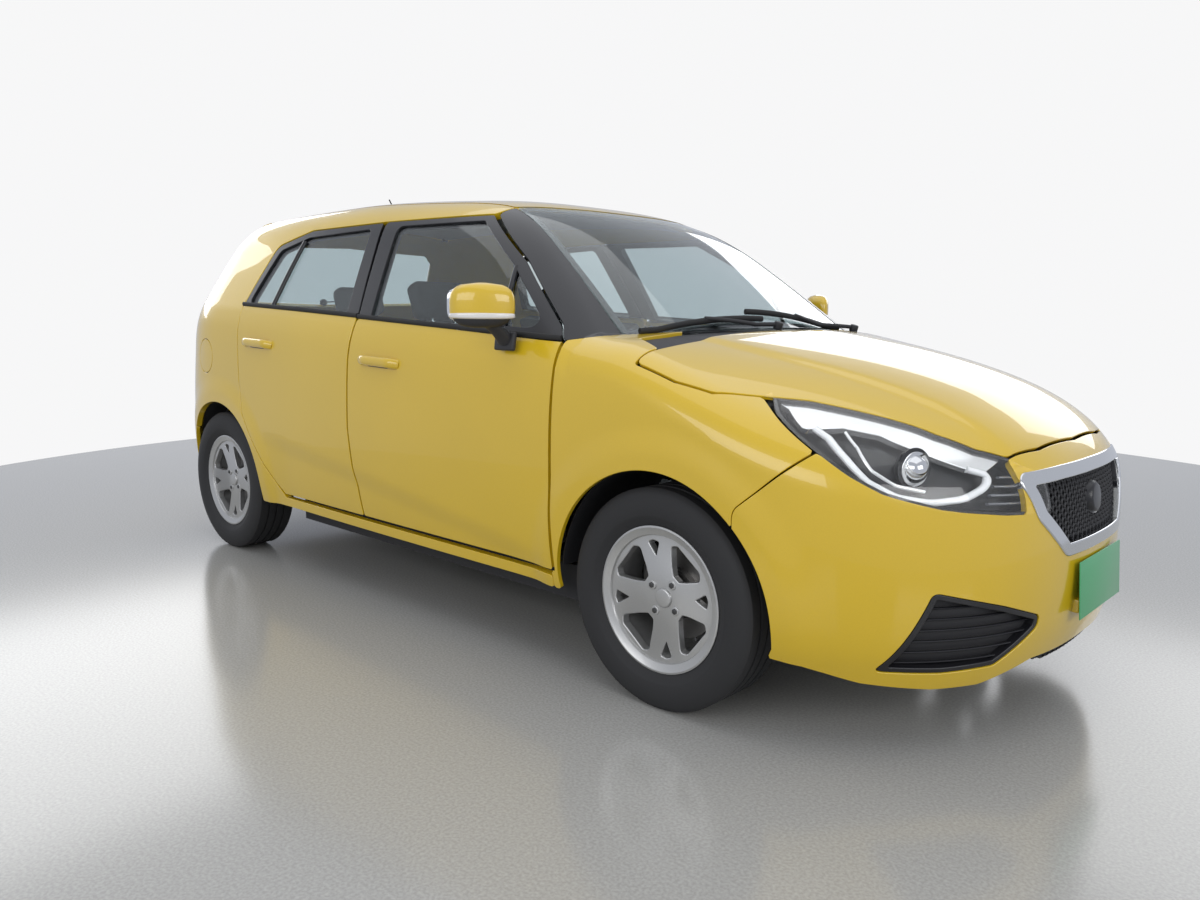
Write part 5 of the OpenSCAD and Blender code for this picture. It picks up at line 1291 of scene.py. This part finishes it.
# ---- Wheel housings and inner trim ----
# Black moulded liners inside the arches, a woven grey headliner under the roof, and a grey moulded
# trim card inside each door.
grey_trim = grained("grey_cabin_trim", (0.10, 0.10, 0.105), 0.7, 700, 0.12, 0.25)
headliner = grained("woven_headliner", (0.42, 0.41, 0.39), 0.9, 1500, 0.08, 0.4)
LINER_R, LINER_THICK, LINER_INNER_Y, LINER_OUTER_Y = 365, 4, 520, 812
for end, x in (("front", FRONT_AXLE), ("rear", REAR_AXLE)):
    for side, mirror in SIDES:
        a = np.radians(np.linspace(4, 176, 44))
        lip = LINER_R + LINER_THICK
        rim = np.stack([x + lip * np.cos(a), AXLE_Z + lip * np.sin(a)], 1)
        reach = np.minimum(LINER_OUTER_Y, -on_side(rim)[:, 1] - 34)
        reach = np.where(np.isfinite(reach) & (reach > 560), reach, 700)
        section = [[LINER_R, 0], [LINER_R, 1], [LINER_R + LINER_THICK, 1], [LINER_R + LINER_THICK, 0]]
        sign = 1 if mirror else -1
        verts = [[x + r * math.cos(t), sign * (LINER_INNER_Y + out * (wide - LINER_INNER_Y)),
                  AXLE_Z + r * math.sin(t)]
                 for t, wide in zip(a, reach) for r, out in section]
        liner = solid(f"arch_liner_{end}_{side}", verts, tube_faces(len(a), len(section)), black_plastic,
                      "root", 40)
card_ring = outline("side", [("side", [[752, 360, 30], [752, 976, 30], [-235, 1022, 30], [-235, 700],
                                       [-190, 360, 30]])])
rear_card = outline("side", [("side", [[-300, 1030, 30], [-1112, 1066, 30], [-1100, 780, 30],
                                       [-960, 560, 60], [-800, 360, 30], [-262, 360, 30]])])
for side, mirror in SIDES:
    for door, ring in (("front", card_ring), ("rear", rear_card)):
        card = skin_panel(f"{door}_door_trim_{side}", "side", ring, thick=62, gap=0, roll_r=8, sunk=32,
                          grid=30, material=grey_trim, body=f"{door}_door_{side}", mirror=mirror)
lining = skin_panel("roof_headliner", "top", roof_ring, thick=6, gap=34, sunk=30, grid=34,
                    material=headliner)

# ---- Seats ----
# Two front seats and a rear bench: foam under knitted cloth, with plain head restraints. The front
# seats stand on moulded bases and steel rails, bolted to the floor.
seat_cloth = grained("knitted_seat_cloth", (0.045, 0.046, 0.050), 0.92, 1300, 0.22, 0.6)


VOXEL, QUICK_VOXEL, PRESSURE, CLOTH_FRAMES, SWELL_MOST = 0.010, 0.016, 4, 12, 0.012


def cushion(name, corners_low, corners_high, at, tilt, body):
    """A crowned block that is swelled by a short cloth simulation."""
    bpy.ops.object.select_all(action="DESELECT")
    size = Vector(corners_high) - Vector(corners_low)
    bpy.ops.mesh.primitive_cube_add(size=1)
    pad = bpy.context.object
    pad.name = name
    pad.scale = size / 1000
    pad.location = (Vector(corners_high) + Vector(corners_low)) / 2000
    bpy.ops.object.transform_apply(location=True, rotation=True, scale=True)
    edge = pad.modifiers.new("edge", "BEVEL")
    edge.width, edge.segments = 0.028, 5
    bpy.ops.object.modifier_apply(modifier="edge")
    pad.rotation_euler = (0, math.radians(tilt), 0)
    pad.location = Vector(at) / 1000
    bpy.ops.object.transform_apply(location=True, rotation=True, scale=True)
    mesher = pad.modifiers.new("mesher", "REMESH")
    mesher.mode, mesher.voxel_size = "VOXEL", VOXEL
    bpy.ops.object.modifier_apply(modifier="mesher")
    before = np.array([tuple(v.co) for v in pad.data.vertices])
    cloth = pad.modifiers.new("cloth", "CLOTH")
    cloth.settings.use_pressure = True
    cloth.settings.uniform_pressure_force = PRESSURE
    cloth.settings.effector_weights.gravity = 0
    cloth.point_cache.frame_start, cloth.point_cache.frame_end = 1, CLOTH_FRAMES
    for frame_number in range(1, CLOTH_FRAMES + 1):
        scene.frame_set(frame_number)
    bpy.ops.object.modifier_apply(modifier="cloth")
    after = np.array([tuple(v.co) for v in pad.data.vertices])
    step = after - before
    far = np.linalg.norm(step, axis=1)[:, None]
    after = before + step * np.minimum(1, SWELL_MOST / np.maximum(far, 1e-9))
    pad.data.vertices.foreach_set("co", after.ravel())
    scene.frame_set(1)
    bpy.ops.object.shade_smooth()
    pad.data.materials.append(seat_cloth)
    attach(pad, body)
    return pad


for side, y in (("right", -360), ("left", 360)):
    seat_pad = cushion("front_seat_cushion_" + side, (-330, -225, -52), (240, 225, 52), (150, y, 440), -6,
                       "root")
    cushion("front_seat_back_" + side, (-52, -225, 0), (52, 225, 560), (-120, y, 470), -24, "root")
    cushion("front_head_restraint_" + side, (-44, -125, 0), (44, 125, 150), (-352, y, 1040), -20, "root")
    posts = [rod("post", [[-330, y + t, 990], [-352, y + t, 1060]], 6, chrome, "root", 12)
             for t in (-55, 55)]
    posts.append(block("base", (420, 380, 60), (140, y, 345), grey_trim, "root", 12))
    posts += [block("rail", (460, 40, 90), (140, y + t, 262), grey_trim, "root", 5) for t in (-170, 170)]
    posts = join("front_seat_posts_" + side, posts)
    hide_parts("front_seats")
bench = cushion("rear_seat_cushion", (-195, -545, -62), (195, 545, 62), (-635, 0, 420), -3, "root")
cushion("rear_seat_back", (-48, -545, 0), (48, 545, 560), (-800, 0, 505), -20, "root")
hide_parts("rear_seat")
for side, y in (("right", -320), ("left", 320)):
    cushion("rear_head_restraint_" + side, (-38, -115, 0), (38, 115, 125), (-1000, y, 1050), -20, "root")

# ---- Finishes of the plain structure ----
# Welded steel body parts, the engine, the axles, the tank and the exhaust keep their own shape and
# take the finish of the real material: primed steel, cast iron, carpet, plastic or scaled steel.
primed_steel = grained("primed_body_steel", (0.20, 0.19, 0.17), 0.55, 220, 0.15, 0.15, metallic=0.2)
cast_iron = grained("cast_iron", (0.10, 0.10, 0.10), 0.60, 320, 0.25, 0.5, metallic=0.5)
scaled_steel = grained("heat_scaled_steel", (0.26, 0.23, 0.20), 0.50, 160, 0.35, 0.3, metallic=0.8)
carpet = grained("needled_carpet", (0.035, 0.035, 0.037), 0.97, 900, 0.3, 0.8)
KEPT = {"floor_pan": carpet, "engine_bay": primed_steel, "hinges": primed_steel, "engine_block": cast_iron,
        "front_subframe": dark_steel,
        "rear_axle_beam": dark_steel, "exhaust": scaled_steel, "fuel_tank": black_plastic,
        "knuckle_left": cast_iron, "knuckle_right": cast_iron,
        "dashboard": grey_trim, "steering_wheel": black_plastic}
for node, finish in KEPT.items():
    thing = bpy.data.objects[node]
    thing.data.materials.clear()
    thing.data.materials.append(finish)
